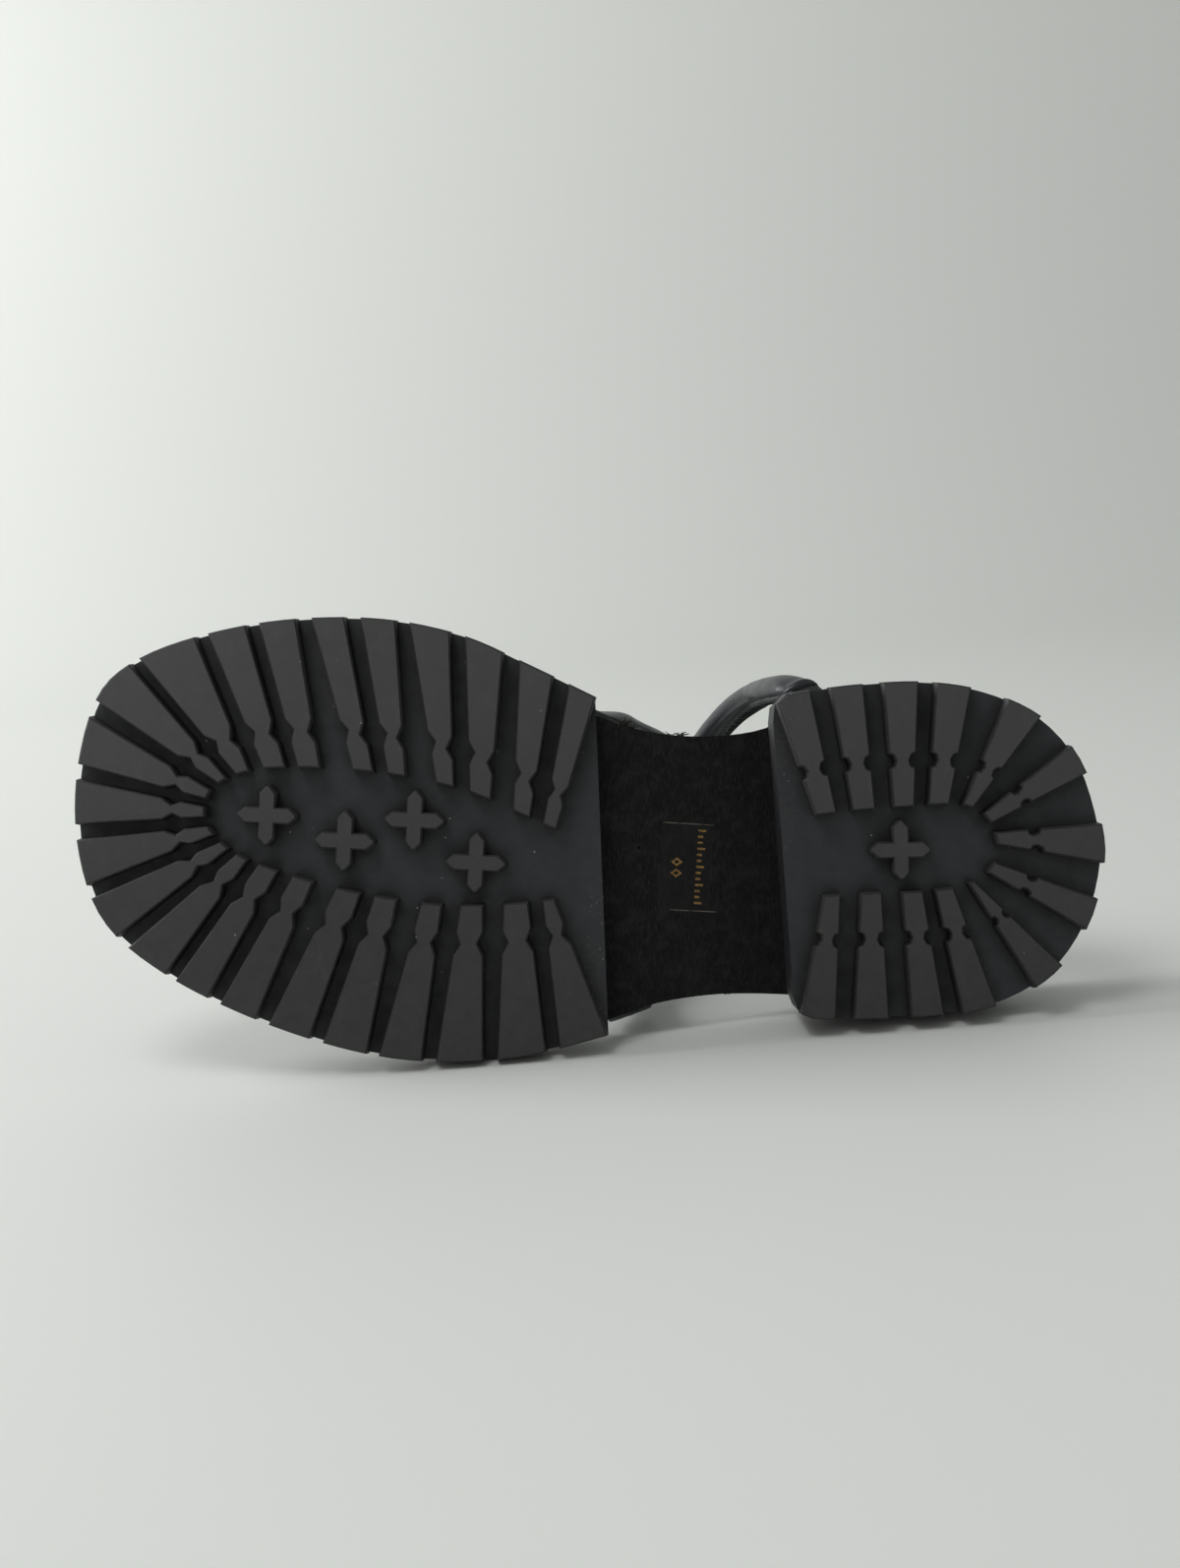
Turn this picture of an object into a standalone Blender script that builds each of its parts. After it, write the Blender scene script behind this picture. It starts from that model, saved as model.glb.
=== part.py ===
"""Right sandal: two padded straps crossed over the instep, on a lugged rubber sole.

The shoe is modelled in its own frame, in millimetres: x runs along it from the back of the heel to the
toe, y across it to the inner side of the foot and z up from the tread.  What lies above the rubber is
built over a level seat and then lifted along the seat line.  The whole shoe is laid on its outer side,
where it rests on the rubber's edge and on the straps, and scaled to metres.
"""
import math
from collections import namedtuple

import bmesh
import bpy
from mathutils import Matrix, Vector

MM = 0.001
GAP = 0.3                       # clearance between neighbouring pieces

# ---- rubber units ----
LUG_DEPTH = 5.0
LUG_EDGE = 0.35                 # chamfer round the top of a lug
LUG_DRAFT = 0.3                 # how much wider a lug is at its foot
LUG_ROOT = 0.4                  # depth that a lug is moulded into its base
FORE_HEIGHT = 10.5              # tread to seat under the forefoot
HEEL_HEIGHT = 22.0              # tread to seat under the heel, before the seat line shapes it
TOE_SPRING = 9.0
SPRING_FROM = 180.0
TOE_TIP = 253.2
CROSS_ARM = 7.25                # centre to tip of a cross
CROSS_HALF_WIDTH = 1.95
CROSS_TIP_HALF_WIDTH = 0.4
CROSS_TIP_CHAMFER = 1.8
RIM_SPACING = 4.0               # longest facet along a rim

# ---- layers over the rubber ----
MIDSOLE_THICKNESS = 4.0
INSOLE_THICKNESS = 5.0
INSOLE_INSET = 2.5              # how far the insole's edge lies inside the midsole's
HEEL_DISH = 1.4                 # depth of the footbed's hollow

# ---- straps ----
STRAP_TUBE = 8.8                # width of the padded tube
STRAP_PAD = 6.8                 # its thickness
TAB_WIDTH = 12.0                # flat strap end under the insole
TAB_THICKNESS = 2.4
TAB_REACH = 8.0
TAB_ROUNDING = 0.45             # share of its thickness that a tab loses at its sides
POCKET_HEADROOM = 0.6           # clearance over a strap end in the insole
ROOT_BEND = 1.6                 # radius of the lining round the insole's edge
ARCH_START = 10.0               # degrees round the foot where the straps meet the last's form
RIDGE_SHIFT = 4.0               # how far the instep's ridge lies to the inner side
CROSSING_SPREAD = 30.0          # degrees over which the straps ease past each other
CROSSING_LIFT = 3.6             # rise of the upper strap
CROSSING_SQUEEZE = 0.36         # share of its thickness that the lower strap gives up

MIDSOLE_TOP = GAP + MIDSOLE_THICKNESS
INSOLE_BOTTOM = MIDSOLE_TOP + GAP
FOOTBED = INSOLE_BOTTOM + INSOLE_THICKNESS
TAB_TOP = INSOLE_BOTTOM + TAB_THICKNESS

Height = namedtuple("Height", "along up")
Edge = namedtuple("Edge", "along inner outer")
Lug = namedtuple("Lug", "rim_from rim_to core_from core_to")
Form = namedtuple("Form", "along up inner_swell outer_lean")
Strap = namedtuple("Strap", "name inner_root outer_root lead inner_pad_from inner_pad_run outer_pad_run "
                            "lift squeeze")

# Height of the rubber's top over the tread, before the toe spring.
SEAT = [
    Height(-1, 24.2), Height(40, 22.8), Height(73, 20.8), Height(83, 19.4), Height(96, 16.4),
    Height(110, 13.2), Height(122, 11.1), Height(133, 10.5), Height(150, 10.5), Height(260, 10.5),
]
# The foot form that the straps lie on: its height over the footbed, how much it swells out over the
# insole's inner edge and how much it leans in over the outer one.
FOOT = [
    Form(50, 76, 0.46, 0.35), Form(66, 71, 0.48, 0.35), Form(78, 68, 0.60, 0.35),
    Form(90, 64, 0.82, 0.35), Form(102, 61, 0.18, 0.35), Form(114, 58, -0.06, 0.35),
    Form(130, 54, -0.10, 0.35), Form(150, 50, -0.10, 0.35),
]
# The midsole's edges, with its tips at the heel and the toe.
HEEL_BACK = (2.6, -3.2)
TOE_FRONT = (249.0, 1.0)
PLATFORM = [
    Edge(5, 9.0, -15.0), Edge(12, 21.0, -27.0), Edge(25, 31.6, -36.0), Edge(40, 35.6, -40.0),
    Edge(56, 35.2, -41.6), Edge(72, 31.8, -41.8), Edge(82, 25.5, -42.0), Edge(93, 22.7, -42.8),
    Edge(106, 21.9, -45.4), Edge(119, 23.6, -50.4), Edge(136, 29.4, -56.0), Edge(152, 36.0, -58.2),
    Edge(170, 40.4, -57.6), Edge(190, 41.0, -53.8), Edge(210, 37.8, -47.4), Edge(228, 31.8, -38.6),
    Edge(240, 24.6, -28.4), Edge(246.5, 14.5, -15.0),
]

# Outline of the forefoot unit, from its inner rear corner round the toe to its outer one.
FORE_RIM = [
    (126.0, 29.6), (143.0, 36.6), (160.0, 42.8), (180.0, 45.4), (203.0, 43.7), (224.0, 38.6),
    (240.0, 31.6), (249.2, 22.0), (253.2, 3.0), (251.4, -16.5), (243.5, -33.2), (227.0, -44.8),
    (204.0, -54.0), (180.0, -60.0), (160.0, -61.5), (138.0, -58.9), (117.6, -52.4),
]
# The line round the crosses on which the forefoot lugs end.
FORE_CORE = [
    (133.5, -3.2), (144.0, 0.8), (155.0, 4.7), (170.0, 7.4), (186.0, 8.3), (202.0, 7.7),
    (212.0, 5.6), (218.6, 1.2), (219.8, -4.4), (217.5, -9.3), (210.0, -14.6), (196.0, -18.7),
    (181.0, -21.5), (163.0, -23.2), (147.0, -22.4), (132.5, -20.2),
]
FORE_LUGS = [
    Lug(0.0, 7.0, 0.0, 3.5), Lug(11.5, 20.5, 7.0, 11.5), Lug(25.0, 35.0, 17.5, 23.0),
    Lug(39.0, 49.0, 27.0, 31.5), Lug(52.5, 61.0, 39.0, 43.5), Lug(65.0, 73.0, 47.0, 52.0),
    Lug(77.0, 86.0, 60.0, 65.5), Lug(89.5, 99.0, 68.5, 74.0), Lug(102.5, 117.5, 77.5, 81.0),
    Lug(120.5, 133.0, 83.5, 86.0), Lug(137.5, 149.5, 88.5, 91.0), Lug(153.5, 164.5, 93.0, 95.5),
    Lug(168.5, 180.0, 98.0, 100.5), Lug(183.5, 195.0, 103.0, 105.5), Lug(199.0, 210.5, 108.0, 111.0),
    Lug(213.5, 222.5, 114.0, 119.0), Lug(226.0, 235.5, 123.0, 128.0), Lug(239.0, 249.5, 134.0, 140.0),
    Lug(253.0, 264.0, 143.5, 149.0), Lug(267.0, 277.5, 155.0, 160.0), Lug(281.0, 292.5, 164.5, 170.0),
    Lug(296.0, 308.0, 175.0, 181.0), Lug(311.5, 323.5, 184.5, 187.5),
]
FORE_CROSSES = [(204.2, -4.2), (184.8, -9.2), (168.1, -3.1), (152.5, -12.5)]
FORE_CROSS_TURN = -1.0          # degrees

# The same for the heel block, from the front inner corner round the back to the outer one.
HEEL_RIM = [
    (82.0, 26.5), (82.0, 30.0), (80.0, 33.0), (75.0, 34.2), (62.0, 36.7), (46.0, 38.4), (31.0, 37.0),
    (17.5, 31.9), (7.2, 22.0), (1.0, 7.0), (-0.3, -4.5), (3.0, -19.3), (11.5, -31.9), (25.5, -40.0),
    (43.0, -43.3), (60.0, -44.9), (67.5, -45.3), (71.0, -44.3), (72.8, -41.3), (73.3, -36.5),
]
HEEL_CORE = [
    (71.0, 4.2), (60.0, 6.2), (48.0, 7.8), (38.0, 9.1), (32.0, 8.4), (27.6, 5.0), (25.7, -1.5),
    (27.5, -6.8), (32.5, -10.2), (42.0, -12.4), (55.0, -13.7), (68.0, -15.3),
]
HEEL_LUGS = [
    Lug(4.5, 13.5, 0.5, 5.5), Lug(18.5, 26.5, 9.5, 15.0), Lug(31.5, 40.0, 19.5, 24.5),
    Lug(44.5, 53.0, 28.0, 33.0), Lug(62.5, 71.5, 36.5, 39.0), Lug(82.0, 89.5, 42.0, 45.0),
    Lug(102.5, 112.0, 47.5, 50.5), Lug(121.0, 129.0, 55.0, 58.0), Lug(139.5, 148.0, 62.0, 63.5),
    Lug(158.5, 167.0, 67.5, 72.0), Lug(171.5, 179.5, 75.0, 80.0), Lug(185.0, 193.5, 85.0, 90.0),
    Lug(198.0, 206.5, 95.0, 99.0),
]
HEEL_CROSSES = [(49.3, -2.9)]
HEEL_CROSS_TURN = -5.0

# A notch in a lug's flank: its place as a share of the way from rim to core, half its length and its
# depth, and the turns (in degrees) at which its outline is drawn.
Notch = namedtuple("Notch", "place half_length depth turns")
FORE_NOTCH = Notch(0.75, 2.9, 1.45, (0, 90, 180))
HEEL_NOTCH = Notch(0.63, 1.9, 1.6, (0, 45, 90, 135, 180))

# lead below 1 takes a strap along the shoe sooner, on the inner side.
STRAPS = [
    Strap("inner heel to outer forefoot", 69.5, 113.5, 0.82, 0.0, 7.0, 24.0, CROSSING_LIFT, 0.0),
    Strap("inner forefoot to outer heel", 134.0, 62.0, 0.79, 8.0, 17.0, 24.0, 0.0, CROSSING_SQUEEZE),
]


# ---- curves and tables ----

def catmull_rom(before, start, end, after, t):
    """Point at t, from 0 to 1, on the smooth curve between start and end."""
    return 0.5 * (2 * start + (end - before) * t + (2 * before - 5 * start + 4 * end - after) * t ** 2
                  + (3 * start - before - 3 * end + after) * t ** 3)


def smooth_curve(knots, closed=False, steps=8):
    """Many points on a smooth curve through a few knots."""
    knots = [Vector(knot) for knot in knots]
    if closed:
        padded = [knots[-1]] + knots + [knots[0], knots[1]]
    else:
        padded = [2 * knots[0] - knots[1]] + knots + [2 * knots[-1] - knots[-2]]
    points = [catmull_rom(*padded[i:i + 4], step / steps)
              for i in range(len(padded) - 3) for step in range(steps)]
    if not closed:
        points.append(knots[-1])
    return points


def smoothstep(value):
    value = min(max(value, 0.0), 1.0)
    return value * value * (3 - 2 * value)


def read_table(rows, along, column):
    """Value of a column at a place along the shoe, on a smooth curve through the table's rows."""
    last = len(rows) - 1
    index = 0
    while index < last - 1 and along > rows[index + 1].along:
        index += 1
    start, end = rows[index], rows[index + 1]
    before, after = rows[max(index - 1, 0)], rows[min(index + 2, last)]
    span = end.along - start.along
    t = min(max((along - start.along) / span, 0.0), 1.0)
    start_value, end_value = getattr(start, column), getattr(end, column)
    start_slope = (end_value - getattr(before, column)) / (end.along - before.along)
    end_slope = (getattr(after, column) - start_value) / (after.along - start.along)
    return ((1 - t) ** 2 * ((1 + 2 * t) * start_value + t * span * start_slope)
            + t ** 2 * ((3 - 2 * t) * end_value - (1 - t) * span * end_slope))


class Contour:
    """A smooth open curve read by the distance from its start."""

    def __init__(self, knots):
        self.points = smooth_curve(knots)
        self.marks = [0.0]
        for start, end in zip(self.points, self.points[1:]):
            self.marks.append(self.marks[-1] + (end - start).length)

    def at(self, distance):
        distance = min(max(distance, 0.0), self.marks[-1])
        index = 0
        while index < len(self.marks) - 2 and distance > self.marks[index + 1]:
            index += 1
        share = (distance - self.marks[index]) / (self.marks[index + 1] - self.marks[index])
        return self.points[index].lerp(self.points[index + 1], share)

    def stretch(self, start, end, spacing=RIM_SPACING):
        count = max(2, math.ceil((end - start) / spacing))
        return [self.at(start + (end - start) * i / count) for i in range(count + 1)]

    def whole(self, spacing=RIM_SPACING):
        return self.stretch(0.0, self.marks[-1], spacing)


def spring(along):
    """Rise of the tread towards the toe."""
    return TOE_SPRING * max(0.0, (along - SPRING_FROM) / (TOE_TIP - SPRING_FROM)) ** 2


def seat_line(along):
    return read_table(SEAT, along, "up") + spring(along)


def platform_outline(inset):
    """The midsole's outline, moved in by an inset."""
    inner = [(row.along, row.inner) for row in PLATFORM]
    outer = [(row.along, row.outer) for row in reversed(PLATFORM)]
    curve = smooth_curve([HEEL_BACK] + inner + [TOE_FRONT] + outer, closed=True, steps=3)
    return offset_outline(curve, inset)


def edge_outward(along, side):
    """Direction in plan square to the midsole's edge; side is 1 for the inner edge, -1 for the outer."""
    column = "inner" if side > 0 else "outer"
    step = 3.0
    rise = read_table(PLATFORM, along + step, column) - read_table(PLATFORM, along - step, column)
    return Vector((-rise / (2 * step), 1)).normalized() * side


def insole_edge(along, side):
    """Where the insole's edge lies across the shoe."""
    column = "inner" if side > 0 else "outer"
    return read_table(PLATFORM, along, column) - INSOLE_INSET / edge_outward(along, side).y


# ---- solids from outlines ----

def signed_area(outline):
    return 0.5 * sum(a.x * b.y - b.x * a.y for a, b in zip(outline, outline[1:] + outline[:1]))


def offset_outline(outline, inset):
    """The outline with each side moved in by an inset, or out by a negative one."""
    turn = 1.0 if signed_area(outline) > 0 else -1.0
    moved = []
    for before, here, after in zip(outline[-1:] + outline[:-1], outline, outline[1:] + outline[:1]):
        come = (here - before).normalized()
        leave = (after - here).normalized()
        inward = Vector((-come.y - leave.y, come.x + leave.x)) * turn
        if inward.length < 0.2:
            inward = Vector((-come.y, come.x)) * turn * 2
        half_cosine = max(inward.length / 2, 0.5)
        moved.append(here + inward.normalized() * inset / half_cosine)
    return moved


def add_stack(mesh, outline, rings):
    """Add a closed solid to a bmesh: the outline repeated at each ring's inset and height."""
    if signed_area(outline) < 0:
        outline = outline[::-1]
    loops = []
    for inset, up in rings:
        loops.append([mesh.verts.new((p.x, p.y, up)) for p in offset_outline(outline, inset)])
    count = len(outline)
    for lower, upper in zip(loops, loops[1:]):
        for i in range(count):
            j = (i + 1) % count
            mesh.faces.new((lower[i], lower[j], upper[j], upper[i]))
    mesh.faces.new(loops[0][::-1])
    mesh.faces.new(loops[-1])


def cut_crosswise(mesh, stations, normal=(1, 0, 0)):
    """Add edges on planes across the shoe, or along it, so that the mesh can bend there."""
    for station in stations:
        geometry = mesh.verts[:] + mesh.edges[:] + mesh.faces[:]
        bmesh.ops.bisect_plane(mesh, geom=geometry, dist=0.01, plane_co=Vector(normal) * station,
                               plane_no=normal)


def move_up(mesh, height_of):
    for vertex in mesh.verts:
        vertex.co.z = height_of(*vertex.co)


def spread(start, end, spacing):
    count = math.ceil((end - start) / spacing)
    return [start + (end - start) * i / count for i in range(count + 1)]


def new_object(name, mesh, material):
    """Turn a bmesh into an object, and free the bmesh."""
    data = bpy.data.meshes.new(name)
    mesh.to_mesh(data)
    mesh.free()
    data.materials.append(material)
    made = bpy.data.objects.new(name, data)
    bpy.context.scene.collection.objects.link(made)
    return made


def combine(target, tool, operation):
    """Apply an exact Boolean to the target, and remove the tool."""
    modifier = target.modifiers.new(operation.lower(), "BOOLEAN")
    modifier.operation = operation
    modifier.solver = "EXACT"
    modifier.object = tool
    graph = bpy.context.evaluated_depsgraph_get()
    result = bpy.data.meshes.new_from_object(target.evaluated_get(graph))
    target.modifiers.clear()
    target.data = result
    bpy.data.objects.remove(tool)


def reshape(target, change):
    """Edit an object's mesh with a function that takes its bmesh."""
    mesh = bmesh.new()
    mesh.from_mesh(target.data)
    change(mesh)
    mesh.to_mesh(target.data)
    mesh.free()


# ---- rubber units ----

def notch_points(start, end, notch, inward, width):
    """Outline of the notch in a flank that runs from start to end."""
    run = end - start
    depth = min(notch.depth, 0.27 * width)
    half = notch.half_length * depth / notch.depth
    centre = start + run * notch.place
    return [centre - run.normalized() * half * math.cos(math.radians(turn))
            + inward * depth * math.sin(math.radians(turn)) for turn in notch.turns]


def lug_outline(rim, core, lug, notch):
    """A lug's outline: along the rim, down one notched flank, along the core and up the other."""
    outer = rim.stretch(lug.rim_from, lug.rim_to)
    inner = [core.at(lug.core_from), core.at(lug.core_to)]
    axis = (inner[0] + inner[1] - outer[0] - outer[-1]).normalized()
    across = Vector((-axis.y, axis.x))
    if across.dot(outer[0] - outer[-1]) < 0:
        across = -across
    rim_width = (outer[0] - outer[-1]).length
    width = rim_width + ((inner[0] - inner[1]).length - rim_width) * notch.place
    far_flank = notch_points(outer[-1], inner[1], notch, across, width)
    near_flank = notch_points(outer[0], inner[0], notch, -across, width)
    return outer + far_flank + [inner[1], inner[0]] + near_flank[::-1]


def cross_outline(centre, turn):
    """A plus sign with chamfered tips."""
    shoulder = CROSS_ARM - CROSS_TIP_CHAMFER
    arm = [(CROSS_HALF_WIDTH, CROSS_HALF_WIDTH), (shoulder, CROSS_HALF_WIDTH),
           (CROSS_ARM, CROSS_TIP_HALF_WIDTH), (CROSS_ARM, -CROSS_TIP_HALF_WIDTH),
           (shoulder, -CROSS_HALF_WIDTH)]
    points = []
    for quarter in range(4):
        rotation = Matrix.Rotation(math.radians(turn - 90 * quarter), 2)
        points += [Vector(centre) + rotation @ Vector(point) for point in arm]
    return points


def rubber_unit(name, rim_knots, core_knots, lugs, notch, crosses, cross_turn, height, stations):
    """A moulded rubber unit: a base with lugs and crosses, its top fitted to the seat line."""
    rim = Contour(rim_knots)
    core = Contour(core_knots)
    base = bmesh.new()
    add_stack(base, rim.whole(), [(0.0, LUG_DEPTH), (0.0, height - LUG_EDGE), (LUG_EDGE, height)])
    unit = new_object(name, base, RUBBER)
    tread = bmesh.new()
    lug_rings = [(LUG_EDGE, 0.0), (0.0, LUG_EDGE), (-LUG_DRAFT, LUG_DEPTH + LUG_ROOT)]
    outlines = [lug_outline(rim, core, lug, notch) for lug in lugs]
    outlines += [cross_outline(centre, cross_turn) for centre in crosses]
    for outline in outlines:
        add_stack(tread, outline, lug_rings)
    combine(unit, new_object(name + "_tread", tread, RUBBER), "UNION")

    def fit(along, _across, up):
        level = spring(along)
        if up <= LUG_DEPTH:
            return up + level
        body = seat_line(along) - level - LUG_DEPTH
        return level + LUG_DEPTH + (up - LUG_DEPTH) * body / (height - LUG_DEPTH)

    def bend(mesh):
        cut_crosswise(mesh, stations)
        bmesh.ops.triangulate(mesh, faces=mesh.faces[:])
        move_up(mesh, fit)

    reshape(unit, bend)
    return unit


# ---- midsole and insole ----

def lift_to_seat(mesh):
    move_up(mesh, lambda along, _across, up: up + seat_line(along))


def build_midsole():
    mesh = bmesh.new()
    add_stack(mesh, platform_outline(0.0), [(0.0, GAP), (0.0, MIDSOLE_TOP)])
    cut_crosswise(mesh, spread(8.0, 246.0, 6.0))
    bmesh.ops.triangulate(mesh, faces=mesh.faces[:])
    lift_to_seat(mesh)
    return new_object("midsole", mesh, BOARD)


def dish(along, across, up):
    """Hollow the footbed between its edges, most at the heel."""
    if up < FOOTBED - 0.01:
        return up
    inner, outer = insole_edge(along, 1), insole_edge(along, -1)
    offset = (2 * across - inner - outer) / (inner - outer)
    depth = HEEL_DISH * (1.0 - 0.5 * smoothstep((along - 60.0) / 80.0))
    return up - depth * max(0.0, 1.0 - offset ** 2)


def root_place(root, side, out, sideways=0.0):
    """Point in plan near a strap's root, measured out from the insole's edge and along it."""
    outward = edge_outward(root, side)
    along = Vector((outward.y, -outward.x))
    return Vector((root, insole_edge(root, side))) + outward * out + along * sideways


def build_insole():
    mesh = bmesh.new()
    add_stack(mesh, platform_outline(INSOLE_INSET),
              [(0.0, INSOLE_BOTTOM), (0.0, FOOTBED - 1.2), (0.4, FOOTBED - 0.4), (1.2, FOOTBED)])
    insole = new_object("insole", mesh, LINING)
    pockets = bmesh.new()
    half = TAB_WIDTH / 2 + GAP
    for strap in STRAPS:
        for root, side in ((strap.inner_root, 1), (strap.outer_root, -1)):
            corners = [root_place(root, side, out, sideways) for out, sideways in
                       ((-TAB_REACH - GAP, -half), (-TAB_REACH - GAP, half), (12.0, half), (12.0, -half))]
            add_stack(pockets, corners, [(0.0, 0.0), (0.0, TAB_TOP + POCKET_HEADROOM)])
    combine(insole, new_object("insole_pockets", pockets, LINING), "DIFFERENCE")

    def shape(mesh):
        cut_crosswise(mesh, spread(8.0, 243.0, 7.0))
        cut_crosswise(mesh, (-24.0, -8.0, 8.0), normal=(0, 1, 0))
        bmesh.ops.triangulate(mesh, faces=mesh.faces[:])
        move_up(mesh, dish)
        lift_to_seat(mesh)

    reshape(insole, shape)
    return insole


# ---- straps ----

def last_point(along, turn):
    """Point of the foot form, from its inner side at turn 0 over the instep to its outer side at 180."""
    inner = insole_edge(along, 1) + GAP + ROOT_BEND
    outer = insole_edge(along, -1) - GAP - ROOT_BEND
    ridge = (inner + outer) / 2 + RIDGE_SHIFT
    cosine = math.cos(math.radians(turn))
    sine = math.sin(math.radians(turn))
    rise = read_table(FOOT, along, "up") * sine
    if cosine > 0:
        reach = inner - ridge + read_table(FOOT, along, "inner_swell") * rise * (1 - sine)
    else:
        reach = ridge - outer - read_table(FOOT, along, "outer_lean") * rise * (1 - sine)
    return Vector((along, ridge + reach * cosine, FOOTBED + rise))


def last_normal(along, turn):
    """Outward normal of the foot form."""
    step = 0.5
    round_it = last_point(along, turn + step) - last_point(along, turn - step)
    along_it = last_point(along + step, turn) - last_point(along - step, turn)
    return round_it.cross(along_it).normalized()


def root_line(root, side):
    """Lining line of a strap's end, from under the insole up round its edge, with outward directions."""
    down = Vector((0, 0, -1))
    out = edge_outward(root, side).to_3d()
    line = [(root_place(root, side, -reach).to_3d() - down * TAB_TOP, down)
            for reach in (TAB_REACH, TAB_REACH / 2)]
    centre = root_place(root, side, GAP).to_3d() - down * (TAB_TOP + ROOT_BEND)
    for turn in (0, 30, 60, 90):
        angle = math.radians(turn)
        outward = out * math.sin(angle) + down * math.cos(angle)
        line.append((centre + outward * ROOT_BEND, outward))
    return line


def ease_between(start, start_way, end, end_way, count):
    """Points on a cubic between two places, leaving and arriving in the given directions."""
    span = (end - start).length
    points = []
    for i in range(1, count + 1):
        t = i / (count + 1)
        points.append((1 - t) ** 2 * ((1 + 2 * t) * start + t * span * start_way)
                      + t ** 2 * ((3 - 2 * t) * end - (1 - t) * span * end_way))
    return points


def place_along(strap, turn):
    """Where a strap lies along the shoe at a turn round the foot."""
    share = math.sin(math.radians(turn / 2)) ** strap.lead
    return strap.inner_root + (strap.outer_root - strap.inner_root) * share


def strap_line(strap):
    """Lining line of a strap from tab to tab: (point, outward, turn) for each ring."""

    def on_last(turn):
        along = place_along(strap, turn)
        return last_point(along, turn), last_normal(along, turn)

    line = []
    for side in (1, -1):
        root = strap.inner_root if side > 0 else strap.outer_root
        start_turn = ARCH_START if side > 0 else 180 - ARCH_START
        end_line = root_line(root, side)
        foot, foot_out = end_line[-1]
        target, target_out = on_last(start_turn)
        way = (on_last(start_turn + side)[0] - target).normalized()
        eased = ease_between(foot, Vector((0, 0, 1)), target, way, 3)
        for i, point in enumerate(eased):
            end_line.append((point, foot_out.lerp(target_out, (i + 1) / (len(eased) + 1))))
        turn = 0 if side > 0 else 180
        half = [(point, outward, turn) for point, outward in end_line]
        if side > 0:
            line += half
            for i in range(33):
                turn = ARCH_START + (180 - 2 * ARCH_START) * i / 32
                line.append((*on_last(turn), turn))
        else:
            line += half[::-1]
    return line


def crossing_turn():
    """Turn round the foot at which the two straps lie at the same place along the shoe."""
    turn = 0
    while place_along(STRAPS[0], turn) < place_along(STRAPS[1], turn):
        turn += 1
    return turn


def strap_profile(pad, thickness):
    """Section of a strap, a tube flattened on the lining side; pad 0 is a plain tab."""
    turns = (-36, -6, 26, 58, 90, 122, 154, 186, 216)
    full = [(STRAP_TUBE / 4, 0.0)]
    full += [(STRAP_TUBE / 2 * math.cos(math.radians(turn)),
              thickness / 2 * (1 + math.sin(math.radians(turn)))) for turn in turns]
    full += [(-STRAP_TUBE / 4, 0.0)]
    shares = [1 - 2 * i / (len(turns) - 1) for i in range(len(turns))]
    flat = [(TAB_WIDTH / 2, 0.0)]
    flat += [(TAB_WIDTH / 2 * math.sin(share * math.pi / 2), TAB_THICKNESS * (1 - TAB_ROUNDING * share ** 6))
             for share in shares]
    flat += [(-TAB_WIDTH / 2, 0.0)]
    return [(near[0] + (far[0] - near[0]) * pad, near[1] + (far[1] - near[1]) * pad)
            for near, far in zip(flat, full)]


def add_strap(mesh, strap):
    """Sweep a strap's section along its lining line."""
    line = strap_line(strap)
    centre_turn = crossing_turn()
    travelled = [0.0]
    for (start, _, _), (end, _, _) in zip(line, line[1:]):
        travelled.append(travelled[-1] + (end - start).length)
    tab_run = TAB_REACH + GAP + ROOT_BEND * math.pi / 4
    rings = []
    for i, (point, outward, turn) in enumerate(line):
        ahead = line[min(i + 1, len(line) - 1)][0]
        behind = line[max(i - 1, 0)][0]
        way = (ahead - behind).normalized()
        outward = (outward - way * outward.dot(way)).normalized()
        sideways = way.cross(outward)
        from_start = travelled[i] - tab_run - strap.inner_pad_from
        from_end = travelled[-1] - travelled[i] - tab_run
        pad = min(smoothstep(from_start / strap.inner_pad_run), smoothstep(from_end / strap.outer_pad_run))
        nearness = max(0.0, 1 - abs(turn - centre_turn) / CROSSING_SPREAD)
        easing = smoothstep(nearness)
        thickness = STRAP_PAD * (1 - strap.squeeze * easing)
        place = point + outward * strap.lift * easing
        rings.append([mesh.verts.new(place + sideways * x + outward * y)
                      for x, y in strap_profile(pad, thickness)])
    count = len(rings[0])
    for near, far in zip(rings, rings[1:]):
        for i in range(count):
            j = (i + 1) % count
            mesh.faces.new((near[i], near[j], far[j], far[i]))
    mesh.faces.new(rings[0][::-1])
    mesh.faces.new(rings[-1])
    bmesh.ops.recalc_face_normals(mesh, faces=mesh.faces[:])


def build_upper():
    pieces = []
    for strap in STRAPS:
        mesh = bmesh.new()
        add_strap(mesh, strap)
        bmesh.ops.triangulate(mesh, faces=mesh.faces[:])
        pieces.append(new_object("upper", mesh, LEATHER))
    upper, second = pieces
    combine(upper, second, "UNION")
    reshape(upper, lift_to_seat)
    return upper


# ---- laying the shoe down ----

def centre_of_volume(objects):
    """Centroid of the solids together."""
    volume = 0.0
    moment = Vector()
    for each in objects:
        each.data.calc_loop_triangles()
        for triangle in each.data.loop_triangles:
            a, b, c = (each.data.vertices[i].co for i in triangle.vertices)
            share = a.dot(b.cross(c)) / 6
            volume += share
            moment += share * (a + b + c) / 4
    return moment / volume


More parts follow.
